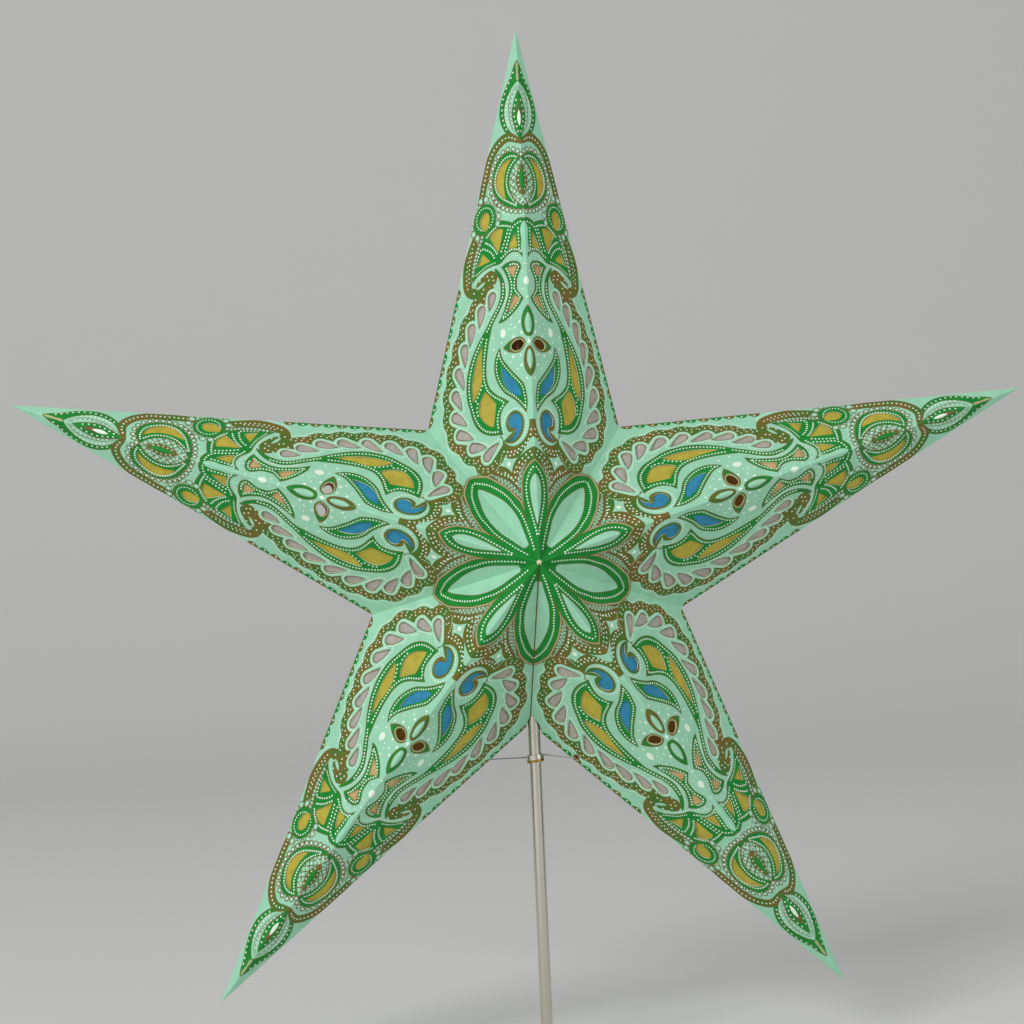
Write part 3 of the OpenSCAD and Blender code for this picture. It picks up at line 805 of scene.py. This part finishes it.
def print_heart(work):
    """Beans, the heart of two crescents with its bud, and the olive arch over them."""
    arch = curve(points([(243.4, -1), (245, 2), (249.6, 10), (247, 18), (240.4, 24.4), (230, 28.6),
        (214, 33.4)]))
    low = curve(points([(212, 29.6), (226, 25.4), (236, 21.4), (242.4, 15.6), (244.8, 9), (242.4, 3),
        (240.6, -1)]))
    work.edged("olive", arch + low)
    work.row([(243.6, 3), (247.2, 10), (244.6, 17.4), (238, 23.4), (229, 27), (216, 31)], 2.5)
    # Bean
    work.bordered("green", [(212.6, 29), (209.4, 35), (203.4, 37.2), (197, 35.6), (195.4, 29),
        (197.6, 22.6), (204, 20.6), (210, 23)])
    work.dots(ring((204, 29), (6.6, 6.4), 30), 1.75, 0.5, True)
    for k in range(13):
        angle = math.radians(-118 + 22 * k)
        spot = Vector((204 + 11.6 * math.cos(angle), 29 + 10.9 * math.sin(angle)))
        work.fill("brown", ring(spot, (2.3, 2.1), 9))
        work.fill("card", ring(spot, (1.75, 1.55), 9))
        work.fill("white", ring(spot, 0.5, 5))
    # Heart
    outer = [
        (232, 0.2), (235, 3), (238, 8), (237.4, 13.6), (232.8, 18.8), (225.6, 21.5), (218, 21.2),
        (211.8, 17.6), (206.4, 11), (202.4, 0.2)]
    line = curve(points(outer), True, [0, 9])
    for at, way in spaced(curve(points(outer)), 3.2):
        spot = at + Vector((way.y, -way.x)) * 1.9
        work.fill("brown", ring(spot, 1.75, 10))
        work.fill("card", ring(spot, 1.1, 9))
        work.fill("white", ring(spot, 0.6, 6))
    work.edged("green", line)
    work.row([
        (233.4, 3), (235.6, 8), (235, 12.8), (231, 17.3), (225.4, 20), (218.6, 19.5), (213, 15.8),
        (208.4, 9.8), (205, 4.6)], 1.7)
    work.row([(232.6, 4), (229.6, 8), (224, 11), (217, 11.2), (210.4, 8), (206, 4.4)], 1.7)
    # Bud, pale with a brown net and a green core
    bud = curve(points([(232.4, -0.6), (230, 4), (225, 8), (219, 9.4), (212, 7.4), (206.6, 3.4),
        (203.6, -0.6)]))
    work.edged("card", bud)
    for root in range(198, 240, 4):
        for way in (1, -1):
            reach = 0.0
            while reach < 9.2 * math.sqrt(max(0.0, 1 - ((root + way * reach - 218) / 14.2) ** 2)):
                reach += 0.2
            if reach > 0:
                start, end = Vector((root, 0)), Vector((root + way * reach, reach))
                work.fill("brown", strip([start, end], [0.3, 0.3]))
    work.bordered("olive", [(228.6, 0), (223, 3.4), (217, 3.6), (211, 0), (217, -3.6), (223, -3.4)], [0, 3])
    work.shape("green", [(227, 0), (222, 1.6), (217, 1.5), (213.4, 0), (217, -1.5), (222, -1.6)], [0, 3])
    work.row([(226.4, 1.4), (222, 2.6), (217, 2.6), (213, 1.2)], 2.6, 0.5)
    for u, v in ((226.4, 4), (222.4, 6.6), (218.2, 7.2), (214, 6), (210, 3.6), (207, 1)):
        work.fill("white", ring((u, v), 0.6, 6))
    for u, v in ((199, 2), (200.4, 6.4), (201.6, 10.6), (203.6, 14.6), (197.8, 6), (206, 17.6),
        (212, 22.6), (219, 25)):
        work.fill("white", ring((u, v), 0.4, 5))


def print_flame(work):
    """The flame near the tip."""
    work.bordered("green", [
        (292, -1), (288, 2.2), (283, 4.6), (277, 9), (270, 12.8), (262, 14.4), (255, 12.8), (249.6, 9.6),
        (249, -1)],
        [0, 7, 8])
    work.row([(286, 2.4), (281, 5.4), (275.4, 9.4), (269, 12.2), (262, 12.6), (255.6, 11.4), (251, 9)], 3.3)
    work.bordered("card", [
        (279, -1), (276, 4), (271, 8), (264.6, 10.8), (258, 10.6), (251.4, 8), (247, 3.6), (247, -1)],
        [0, 6, 7])
    for half, ink in ((7.4, "brown"), (6.2, "brown")):
        path = [(276 - (7.4 - half), 0.4), (270, half - 1), (263, half), (256, half - 0.6), (248, half - 4)]
        work.fill(ink, strip(curve(points(path)), [0.15, 0.25, 0.15]))
    work.row([(272, 7), (266.4, 9.4), (259, 9.6), (253, 8)], 2.6, 0.6)
    work.row([(274, 2.6), (269, 5.2), (263, 6.5), (257, 6), (251, 4)], 2.6, 0.5)
    work.bordered("green", [(273, 0), (266, 3.6), (259, 5), (251, 3), (242.6, 0), (251, -3), (259, -5),
        (266, -3.6)], [0, 4])
    work.shape("brown", [(267, 0), (260, 1.8), (252, 0), (260, -1.8)], [0, 2])
    work.shape("white", [(261.4, 0), (256.4, 1.5), (251.6, 0), (256.4, -1.5)], [0, 2])
    work.row([(269, 1), (264.6, 2.9), (259, 3.7), (252, 2.2), (247, 0.8)], 3.2)
    work.shape("straw", [(291.6, -1), (290, 0.4), (284, 0.7), (279, 0.4), (279, -1)], [0, 4])


def all_print(flat):
    """Every printed shape of half an arm."""
    work = Print()
    print_field(work)
    print_drop_band(work, flat)
    print_rosette(work, flat)
    print_paisleys(work)
    print_fan(work)
    print_heart(work)
    print_flame(work)
    return work.shapes


# The star's flat panels and where they go


def crossing(spot, way, other, course):
    """Where two lines of the layout cross."""
    return spot + way * ((other - spot).cross(course) / way.cross(course))


class Flat:
    """Flat size of a half arm and the places of its panels."""

    def __init__(self, sizes):
        self.sizes = sizes
        tip, inner, depth = sizes.tip_radius, sizes.inner_radius, sizes.half_depth
        half = STEP / 2
        self.ridge = math.hypot(tip, depth)
        self.fit = self.ridge / LAYOUT_LENGTH
        valley = math.hypot(inner, depth)
        corner_u = (depth ** 2 + tip * inner * math.cos(half)) / self.ridge
        corner_v = math.sqrt(valley ** 2 - corner_u ** 2)
        self.slope = math.atan(depth / tip)
        self.roll = math.asin(inner * math.sin(half) / corner_v)
        self.peak = Vector((0, 0))
        self.tip = Vector((self.ridge, 0))
        self.corner = Vector((corner_u, corner_v))
        edge = (self.tip - self.corner).normalized()
        self.eyelet = self.corner + edge * sizes.eyelet_run + Vector((edge.y, -edge.x)) * sizes.eyelet_inset
        self.inner = self.inner_corners()

    def inner_corners(self):
        """Corners of a panel's inner face. Neighbouring panels meet on the plane halfway between them."""
        turned = self.place(0, False, False).to_3x3()
        half = STEP / 2
        halfway = ((1, 0, 0), (0, 1, 0), (math.cos(half), 0, -math.sin(half)))
        corners = [self.peak, self.tip, self.corner]
        lines = []
        for k, normal in enumerate(halfway):
            normal = Matrix.Rotation(self.sizes.lean, 3, "Y") @ Vector(normal)
            start = corners[k]
            way = (corners[(k + 1) % 3] - start).normalized()
            side = Vector((-way.y, way.x))
            inwards = normal.dot(turned @ Vector((0, 0, 1)))
            sideways = normal.dot(turned @ Vector((side.x, side.y, 0)))
            lines.append((start - side * (self.sizes.card * inwards / sideways), way))
        return [crossing(*lines[k - 1], *lines[k]) for k in range(3)]

    def on_line(self, spot, k):
        """Whether a point lies on the ridge (0), the outer edge (1) or the valley (2)."""
        corners = [self.peak, self.tip, self.corner]
        start = corners[k]
        way = (corners[(k + 1) % 3] - start).normalized()
        return abs((spot - start).cross(way)) < 0.001 * MM

    def inner_spot(self, spot, outline):
        """Where a point of the outer face's rim lies on the inner face. The seam keeps its cut line."""
        corners = [self.peak, self.tip, self.corner]
        for k in range(3):
            start, end = corners[k], corners[(k + 1) % 3]
            if self.on_line(spot, k):
                share = (spot - start).length / (end - start).length
                return self.inner[k].lerp(self.inner[(k + 1) % 3], share)
        start, end = outline[0], outline[2]
        seam = (end - start).normalized()
        if abs((spot - start).cross(seam)) < 0.001 * MM:
            low = crossing(start, seam, self.inner[0], self.inner[1] - self.inner[0])
            high = crossing(start, seam, self.inner[1], self.inner[2] - self.inner[1])
            return low.lerp(high, (spot - start).length / (end - start).length)
        return spot.copy()

    def valley_place(self, arm, left, back):
        """Matrix from a valley's radial plane (along the valley, into the star, towards the arm)."""
        sizes = self.sizes
        return (
            Matrix.Translation((0, 0, sizes.centre_height))
            @ Matrix.Rotation(sizes.lean + arm * STEP, 4, "Y")
            @ Matrix.Diagonal((-1 if left else 1, -1 if back else 1, 1, 1))
            @ Matrix.Rotation(STEP / 2, 4, "Y")
            @ Matrix.Translation((0, -sizes.half_depth, 0))
            @ Matrix.Rotation(-math.pi / 2, 4, "Y")
            @ Matrix.Rotation(math.atan(sizes.half_depth / sizes.inner_radius), 4, "Z"))

    def place(self, arm, left, back):
        """Matrix from the layout (along the ridge, across it, inwards) to the part's frame."""
        sizes = self.sizes
        return (
            Matrix.Translation((0, 0, sizes.centre_height))
            @ Matrix.Rotation(sizes.lean + arm * STEP, 4, "Y")
            @ Matrix.Diagonal((-1 if left else 1, -1 if back else 1, 1, 1))
            @ Matrix.Translation((0, -sizes.half_depth, 0))
            @ Matrix.Rotation(-self.slope, 4, "X")
            @ Matrix.Rotation(-math.pi / 2, 4, "Y")
            @ Matrix.Rotation(-self.roll, 4, "X"))

    def outline(self, shift=0.0):
        """The panel's three corners, with the valley moved inwards by this much."""
        valley = self.corner.normalized()
        angle = math.atan2(self.corner.y, self.corner.x)
        edge = self.tip - self.corner
        moved = Vector((shift / math.sin(angle), 0))
        across = edge.cross(valley)
        far = self.corner + edge * ((moved - self.corner).cross(valley) / across)
        return [moved, self.tip, far]

    def bow(self, spot, seed):
        """How far the paper bows out between its folds. It lies flat under an eyelet's flange."""
        edge = (self.tip - self.corner).normalized()
        to_edge = abs((spot - self.corner).cross(edge))
        to_valley = abs(spot.cross(self.corner.normalized()))
        room = min(spot.y, to_edge, to_valley)
        room = min(room, max(0.0, (spot - self.eyelet).length - 3 * MM))
        wave = 0.55 + 0.9 * noise.noise(Vector((spot.x / (55 * MM), spot.y / (40 * MM), seed * 3.7)))
        return self.sizes.bulge * wave * (1 - math.exp(-room / (7 * MM)))

    def outer(self, spot, seed):
        """A point of the outer face, rounded over the ridge."""
        width = self.sizes.fold_width
        point = Vector((spot.x, spot.y, -self.bow(spot, seed)))
        to_edge = abs((spot - self.corner).cross((self.tip - self.corner).normalized()))
        fade = min(1.0, to_edge / (2 * width))
        if spot.y < width:
            drop = fade * math.tan(self.roll) * (width - spot.y) ** 2 / (2 * width)
            point += Vector((0, drop * math.cos(self.roll), drop * math.sin(self.roll)))
        return point


def seam_side(arm, left):
    """Whether this side of an arm borders the open seam."""
    return (arm == SEAM_RIGHT and not left) or (arm == SEAM_LEFT and left)


def rod_way(flat, place):
    """Where the round way out for the rod crosses a panel, as a loop on it."""
    back = place.inverted()
    down = back.to_3x3() @ Vector((0, 0, 1))
    loop = []
    for i in range(20):
        angle = 2 * math.pi * i / 20
        reach = flat.sizes.rod_way
        foot = back @ Vector((reach * math.cos(angle), reach * math.sin(angle), 0))
        crossing = foot - down * (foot.z / down.z)
        loop.append(Vector((crossing.x, crossing.y)))
    return loop


def triangulate(loops, lines, extra, reach=1e-7):
    """Points and triangles of the first loop, the loops that each lies in, and each point's sources."""
    spots, faces, edges = [], [], []
    for loop in loops:
        faces.append(list(range(len(spots), len(spots) + len(loop))))
        # A face keeps to its inside only if it runs anticlockwise
        spots.extend(loop if area(loop) > 0 else loop[::-1])
    for a, b in lines:
        edges.append((len(spots), len(spots) + 1))
        spots.extend([a, b])
    spots.extend(extra)
    made = delaunay_2d_cdt(spots, edges, faces, 1, reach)
    kept = [(tuple(f), o) for f, o in zip(made[2], made[5]) if 0 in o]
    return made[0], kept, made[3]


class PAPERSTAR_OT_arms(bpy.types.Operator):
    """Fold the five printed card arms, with their cut-outs open"""

    bl_idname = "paper_star.arms"
    bl_label = "Card Arms"

    def execute(self, context):
        sizes = context.scene.paper_star_sizes
        materials = card_materials(context.scene.paper_star_colours)
        flat = Flat(sizes)
        cuts = [[p * flat.fit for p in loop] for loop in cut_loops()]
        printed = all_print(flat)
        slots = list(materials)
        for arm, name in enumerate(ARM_NAMES):
            mesh = bmesh.new()
            for left in (False, True):
                for back in (False, True):
                    add_panel(mesh, flat, arm, left, back, cuts, printed, slots)
            bmesh.ops.remove_doubles(mesh, verts=mesh.verts, dist=MERGE)
            # Beside the seam the plain half's ridge reaches a little past the cut half
            gaps = [edge for edge in mesh.edges if len(edge.link_faces) == 1]
            for face in bmesh.ops.holes_fill(mesh, edges=gaps, sides=0)["faces"]:
                face.material_index = slots.index("edge")
            add_tabs(mesh, flat, arm, slots.index("inside"))
            finish_piece(mesh, name + "_arm_sheet", materials.values(), [name + "_arm_card"])
        return {"FINISHED"}


def rims(drawn):
    """The closed loops of sides that only one face has, the longest way round first."""
    sides = {(a, b) for corners in drawn for a, b in zip(corners, corners[1:] + corners[:1])}
    onward = {}
    for a, b in sorted(sides):
        if (b, a) not in sides:
            onward.setdefault(a, []).append(b)
    loops = []
    while onward:
        start = here = min(onward)
        loop = []
        while here in onward:
            loop.append(here)
            following = onward[here].pop()
            if not onward[here]:
                del onward[here]
            here = following
            if here == start:
                break
        loops.append(loop)
    return loops


def prism(mesh, place, outline, low, high, slot):
    """A flat flap of card between two heights."""
    rings = [[mesh.verts.new(place @ Vector((x, y, z))) for x, y in outline] for z in (low, high)]
    count = len(outline)
    turned = place.determinant() < 0
    sheets = [rings[0][::-1], rings[1]]
    for k in range(count):
        n = (k + 1) % count
        sheets.append([rings[0][k], rings[0][n], rings[1][n], rings[1][k]])
    for corners in sheets:
        mesh.faces.new(corners[::-1] if turned else corners).material_index = slot


def add_panel(mesh, flat, arm, left, back, cuts, printed, slots):
    """One printed panel: its outer face, its cut edges and its inner face."""
    sizes = flat.sizes
    place = flat.place(arm, left, back)
    seam = seam_side(arm, left)
    outline = flat.outline()
    holes = list(cuts)
    if seam:
        turned = (Matrix.Translation((0, 0, sizes.centre_height))
                  @ Matrix.Rotation(sizes.lean, 4, "Y")).inverted() @ place
        valley = flat.corner.normalized()
        across = turned.to_3x3() @ Vector((valley.y, -valley.x, 0))
        outline = flat.outline(sizes.seam_gap / 2 / abs(across.x))
        holes.append(rod_way(flat, place))
    if (arm, left, back) in ((SEAM_RIGHT, False, False), (SEAM_LEFT, True, True)):
        holes.append(ring(flat.eyelet, sizes.eyelet_hole, 24))
    loops = [outline] + [[p * flat.fit for p in loop] for ink, loop in printed] + holes
    first_hole = 1 + len(printed)
    tip = flat.tip.x
    folds = [w * sizes.fold_width for w in (0.33, 0.66, 1)]
    lines = [(Vector((0, fold)), Vector((tip, fold))) for fold in folds]
    pitch = 7 * MM
    extra = [Vector((i * pitch, (j + 0.5 * (i % 2)) * pitch)) for i in range(1, 45) for j in range(1, 12)]
    seed = arm * 4 + 2 * left + back
    flip = left != back
    spots, kept, sources = triangulate(loops, lines, extra)
    outer, inner = {}, {}

    def outer_vertex(i):
        if i not in outer:
            outer[i] = mesh.verts.new(place @ flat.outer(spots[i], seed))
        return outer[i]

    def inner_vertex(i):
        if i not in inner:
            spot = flat.inner_spot(spots[i], outline)
            inner[i] = mesh.verts.new(place @ Vector((spot.x, spot.y,
                sizes.card - flat.bow(spots[i], seed))))
        return inner[i]

    drawn = []
    for corners, inside in kept:
        top = max(inside)
        if top >= first_hole:
            continue
        drawn.append(corners)
        face = mesh.faces.new([outer_vertex(i) for i in (corners if flip else corners[::-1])])
        face.material_index = slots.index(printed[top - 1][0]) if top else slots.index("card")
    loops = rims(drawn)
    folded = [[flat.on_line(spot, k) for k in (0, 1)] for spot in spots]
    for loop in loops:
        for a, b in zip(loop, loop[1:] + loop[:1]):
            # The inner faces of neighbouring panels meet at the ridge and at the outer edge
            if any(folded[a][k] and folded[b][k] for k in (0, 1)):
                continue
            corners = [outer[a], outer[b], inner_vertex(b), inner_vertex(a)]
            face = mesh.faces.new(corners[::-1] if flip else corners)
            face.material_index = slots.index("edge")
    rows = []
    for loop in loops:
        row = [flat.inner_spot(spots[i], outline) for i in loop]
        turned = area(row) < 0
        rows.append((abs(area(row)), loop[::-1] if turned else loop, row[::-1] if turned else row))
    rows.sort(key=lambda row: -row[0])
    rim = [i for size, loop, row in rows for i in loop]
    inside_spots, kept, sources = triangulate([row for size, loop, row in rows], [], extra)
    again = {}
    for corners, inside in kept:
        if max(inside) > 0:
            continue
        for i in corners:
            if i in again:
                continue
            first = min(sources[i]) if sources[i] else len(rim)
            if first < len(rim):
                again[i] = inner_vertex(rim[first])
            else:
                spot = inside_spots[i]
                again[i] = mesh.verts.new(place @ Vector((spot.x, spot.y,
                    sizes.card - flat.bow(spot, seed))))
        chosen = [again[i] for i in (corners[::-1] if flip else corners)]
        mesh.faces.new(chosen).material_index = slots.index("inside")


def add_tabs(mesh, flat, arm, slot):
    """The glued tabs: one along each valley of the arm, and one inside its left outer edge."""
    sizes = flat.sizes
    width = sizes.tab_width
    reach = flat.corner.length - 1 * MM
    # The tab's root lies between the outer and the inner face
    root = sizes.card / 2
    outline = [(2 * width + root, root), (reach, root), (reach - 2 * width, width), (3 * width, width)]
    for left in (False, True):
        low = sizes.seam_gap / 2 if seam_side(arm, left) else 0.0
        for back in (False, True):
            prism(mesh, flat.valley_place(arm, left, back), outline, low, low + sizes.card, slot)
    edge = (flat.tip - flat.corner).normalized()
    into = Vector((edge.y, -edge.x))
    near = flat.corner + edge * width
    far = flat.tip - edge * 2 * width
    start = into * 1.2 * sizes.card
    end = sizes.edge_tab_width
    outline = [near + start, far + start, far + (into - edge * 2) * end, near + (into + edge) * end]
    outline = outline if area(outline) > 0 else outline[::-1]
    prism(mesh, flat.place(arm, True, False), outline, sizes.card, 2 * sizes.card, slot)


def finish_piece(mesh, name, materials, replaced):
    """Makes the object, with its faces smooth up to the folds, puts it under the root body and hides the
    nodes it stands in for.
    """
    data = bpy.data.meshes.new(name)
    mesh.to_mesh(data)
    mesh.free()
    piece = bpy.data.objects.new(name, data)
    bpy.context.scene.collection.objects.link(piece)
    for material in materials:
        data.materials.append(material)
    bpy.ops.object.select_all(action="DESELECT")
    piece.select_set(True)
    bpy.context.view_layer.objects.active = piece
    bpy.ops.object.shade_smooth_by_angle(angle=math.radians(28))
    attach(piece, "root")
    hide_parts(*replaced)
    return piece


def dress(node, material):
    """Gives a node of the frame its material."""
    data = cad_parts[node].data
    data.materials.clear()
    data.materials.append(material)


def add_patch(mesh, flat, place, patch, seed, flip):
    """One piece of tissue, wrinkled by its glue, close behind the card."""
    sizes = flat.sizes
    loop = [p * flat.fit for p in patch]
    fine = []
    for a, b in zip(loop, loop[1:] + loop[:1]):
        steps = max(1, round((b - a).length / (2.5 * MM)))
        fine.extend(a.lerp(b, k / steps) for k in range(steps))
    pitch = 1.7 * MM
    low = Vector((min(p.x for p in loop), min(p.y for p in loop)))
    high = Vector((max(p.x for p in loop), max(p.y for p in loop)))
    extra = [
        low + Vector(((i + 0.5 * (j % 2)) * pitch, j * pitch))
        for i in range(1, int((high.x - low.x) / pitch)) for j in range(1, int((high.y - low.y) / pitch))]
    spots, kept, sources = triangulate([fine], [], extra)
    sheets = []
    for layer in range(2):
        row = []
        for spot in spots:
            coarse = noise.noise(Vector((spot.x / (9 * MM), spot.y / (4 * MM), seed * 5.1)))
            crease = 1 - abs(noise.noise(Vector((spot.x / (5 * MM), spot.y / (3 * MM), seed * 9.3 + 4))))
            depth = sizes.wrinkle * (0.4 * (1 + coarse) + 0.6 * crease ** 6)
            depth += sizes.card - flat.bow(spot, seed % 20) + layer * sizes.tissue
            row.append(mesh.verts.new(place @ Vector((spot.x, spot.y, depth))))
        sheets.append(row)
    drawn = [corners for corners, inside in kept]
    for corners in drawn:
        mesh.faces.new([sheets[0][i] for i in (corners if flip else corners[::-1])])
        mesh.faces.new([sheets[1][i] for i in (corners[::-1] if flip else corners)])
    for rim in rims(drawn):
        for a, b in zip(rim, rim[1:] + rim[:1]):
            corners = [sheets[0][a], sheets[0][b], sheets[1][b], sheets[1][a]]
            mesh.faces.new(corners[::-1] if flip else corners)
    # Points outside the loop belong to no face
    for row in sheets:
        for vert in row:
            if not vert.link_faces:
                mesh.verts.remove(vert)


class PAPERSTAR_OT_tissue(bpy.types.Operator):
    """Glue the coloured tissue behind the cut-outs"""

    bl_idname = "paper_star.tissue"
    bl_label = "Tissue"

    def execute(self, context):
        flat = Flat(context.scene.paper_star_sizes)
        colours = context.scene.paper_star_colours
        patches = {
            "lilac": [drop_patch()],
            "ochre": [points(patch) for patch in OCHRE_PATCHES],
            "blue": [points(patch) for patch in BLUE_PATCHES],
            "salmon": [points(patch) for patch in SALMON_PATCHES],
        }
        for tint, group in patches.items():
            material = tissue(tint + "_tissue", getattr(colours, tint))
            for arm, name in enumerate(ARM_NAMES):
                mesh = bmesh.new()
                for left in (False, True):
                    for back in (False, True):
                        place = flat.place(arm, left, back)
                        seed = arm * 4 + 2 * left + back
                        for k, patch in enumerate(group):
                            add_patch(mesh, flat, place, patch, seed + 20 * k, left != back)
                title = name + "_arm_" + tint
                finish_piece(mesh, title + "_paper", [material], [title + "_tissue"])
        return {"FINISHED"}


class PAPERSTAR_OT_metal(bpy.types.Operator):
    """Dress the rods, the collar, the tie wire and the eyelets"""

    bl_idname = "paper_star.metal"
    bl_label = "Rod and Fittings"

    def execute(self, context):
        steel = drawn_metal("drawn_steel", "#D8D2C6", 0.17, 0.25)
        wire = drawn_metal("annealed_wire", "#8C8882", 0.45, 0.1)
        brass = drawn_metal("turned_brass", "#B58A4A", 0.3, 0.2)
        copper = drawn_metal("pressed_copper", "#B07A52", 0.35, 0.2)
        for node in ("upper_rod", "lower_rod", "collar_ring"):
            dress(node, steel)
        dress("tie_wire", wire)
        dress("collar_bush", brass)
        for node in ("left_eyelet", "right_eyelet"):
            dress(node, copper)
        return {"FINISHED"}


def lamp(name, place, aim, size, power):
    """A soft square lamp that faces a point."""
    data = bpy.data.lights.new(name, "AREA")
    data.size = size
    data.energy = power
    light = bpy.data.objects.new(name, data)
    bpy.context.scene.collection.objects.link(light)
    light.location = place
    light.rotation_euler = (Vector(aim) - Vector(place)).to_track_quat("-Z", "Y").to_euler()
    return light


class PAPERSTAR_OT_stage(bpy.types.Operator):
    """Set up the pale floor, the soft lamps and the camera"""

    bl_idname = "paper_star.stage"
    bl_label = "Stage"

    def execute(self, context):
        sizes = context.scene.paper_star_sizes
        view = context.scene.paper_star_stage
        floor_run, wall_height, sweep = 3.0, 3.0, 1.2
        profile = [(-3.0, 0.0), (floor_run - sweep, 0.0)]
        for i in range(1, 13):
            a = math.pi / 2 * i / 12
            profile.append((floor_run - sweep + sweep * math.sin(a), sweep - sweep * math.cos(a)))
        profile.append((floor_run, wall_height))
        mesh = bmesh.new()
        rows = [[mesh.verts.new((x, y, z)) for y, z in profile] for x in (-4.0, 4.0)]
        for k in range(len(profile) - 1):
            mesh.faces.new((rows[0][k], rows[1][k], rows[1][k + 1], rows[0][k + 1]))
        data = bpy.data.meshes.new("studio_sweep")
        mesh.to_mesh(data)
        mesh.free()
        floor = bpy.data.objects.new("studio_sweep", data)
        context.scene.collection.objects.link(floor)
        for face in data.polygons:
            face.use_smooth = True
        material, shader = new_material("matt_white_sweep")
        shader.inputs["Base Color"].default_value = linear("#E4E4E2")
        shader.inputs["Roughness"].default_value = 0.9
        data.materials.append(material)

        world = bpy.data.worlds.new("soft_room")
        world.use_nodes = True
        world.node_tree.nodes["Background"].inputs["Color"].default_value = (1, 1, 1, 1)
        world.node_tree.nodes["Background"].inputs["Strength"].default_value = 0.38
        context.scene.world = world
        aim = (0, 0, sizes.centre_height)
        lamp("key", (-1.6, -1.9, 1.5), aim, 1.2, 44)
        lamp("fill", (1.9, -1.6, 0.9), aim, 1.6, 14)

        data = bpy.data.cameras.new("camera")
        data.sensor_width = 36
        data.lens = 36 * view.distance / view.view_width
        data.clip_end = 50
        camera = bpy.data.objects.new("camera", data)
        context.scene.collection.objects.link(camera)
        camera.matrix_world = (
            Matrix.Translation((0, 0, sizes.centre_height))
            @ Matrix.Rotation(sizes.lean, 4, "Y")
            @ Matrix.Rotation(view.yaw, 4, "Z")
            @ Matrix.Rotation(view.pitch, 4, "X")
            @ Matrix.Rotation(view.roll, 4, "Y")
            @ Matrix.Translation((-view.aside, -view.distance, view.below))
            @ Matrix.Rotation(math.pi / 2, 4, "X"))
        context.scene.camera = camera
        context.scene.view_settings.view_transform = "Standard"
        return {"FINISHED"}


class PAPERSTAR_PT_panel(bpy.types.Panel):
    """Steps of the star, in order"""

    bl_idname = "PAPERSTAR_PT_panel"
    bl_label = "Paper Star"
    bl_space_type = "VIEW_3D"
    bl_region_type = "UI"
    bl_category = "Paper Star"

    def draw(self, context):
        for operator in OPERATORS:
            self.layout.operator(operator.bl_idname)


OPERATORS = (PAPERSTAR_OT_arms, PAPERSTAR_OT_tissue, PAPERSTAR_OT_metal, PAPERSTAR_OT_stage)
GROUPS = {
    "paper_star_sizes": StarSizes,
    "paper_star_colours": StarColours,
    "paper_star_stage": StageSettings,
}


def register():
    for kind in (*GROUPS.values(), *OPERATORS, PAPERSTAR_PT_panel):
        bpy.utils.register_class(kind)
    for name, group in GROUPS.items():
        setattr(bpy.types.Scene, name, bpy.props.PointerProperty(type=group))


def unregister():
    for name in GROUPS:
        delattr(bpy.types.Scene, name)
    for kind in (PAPERSTAR_PT_panel, *reversed(OPERATORS), *reversed(GROUPS.values())):
        bpy.utils.unregister_class(kind)


def main():
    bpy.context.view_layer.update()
    register()
    for step in (bpy.ops.paper_star.arms, bpy.ops.paper_star.tissue, bpy.ops.paper_star.metal,
                 bpy.ops.paper_star.stage):
        step()


if __name__ == "__main__":
    main()
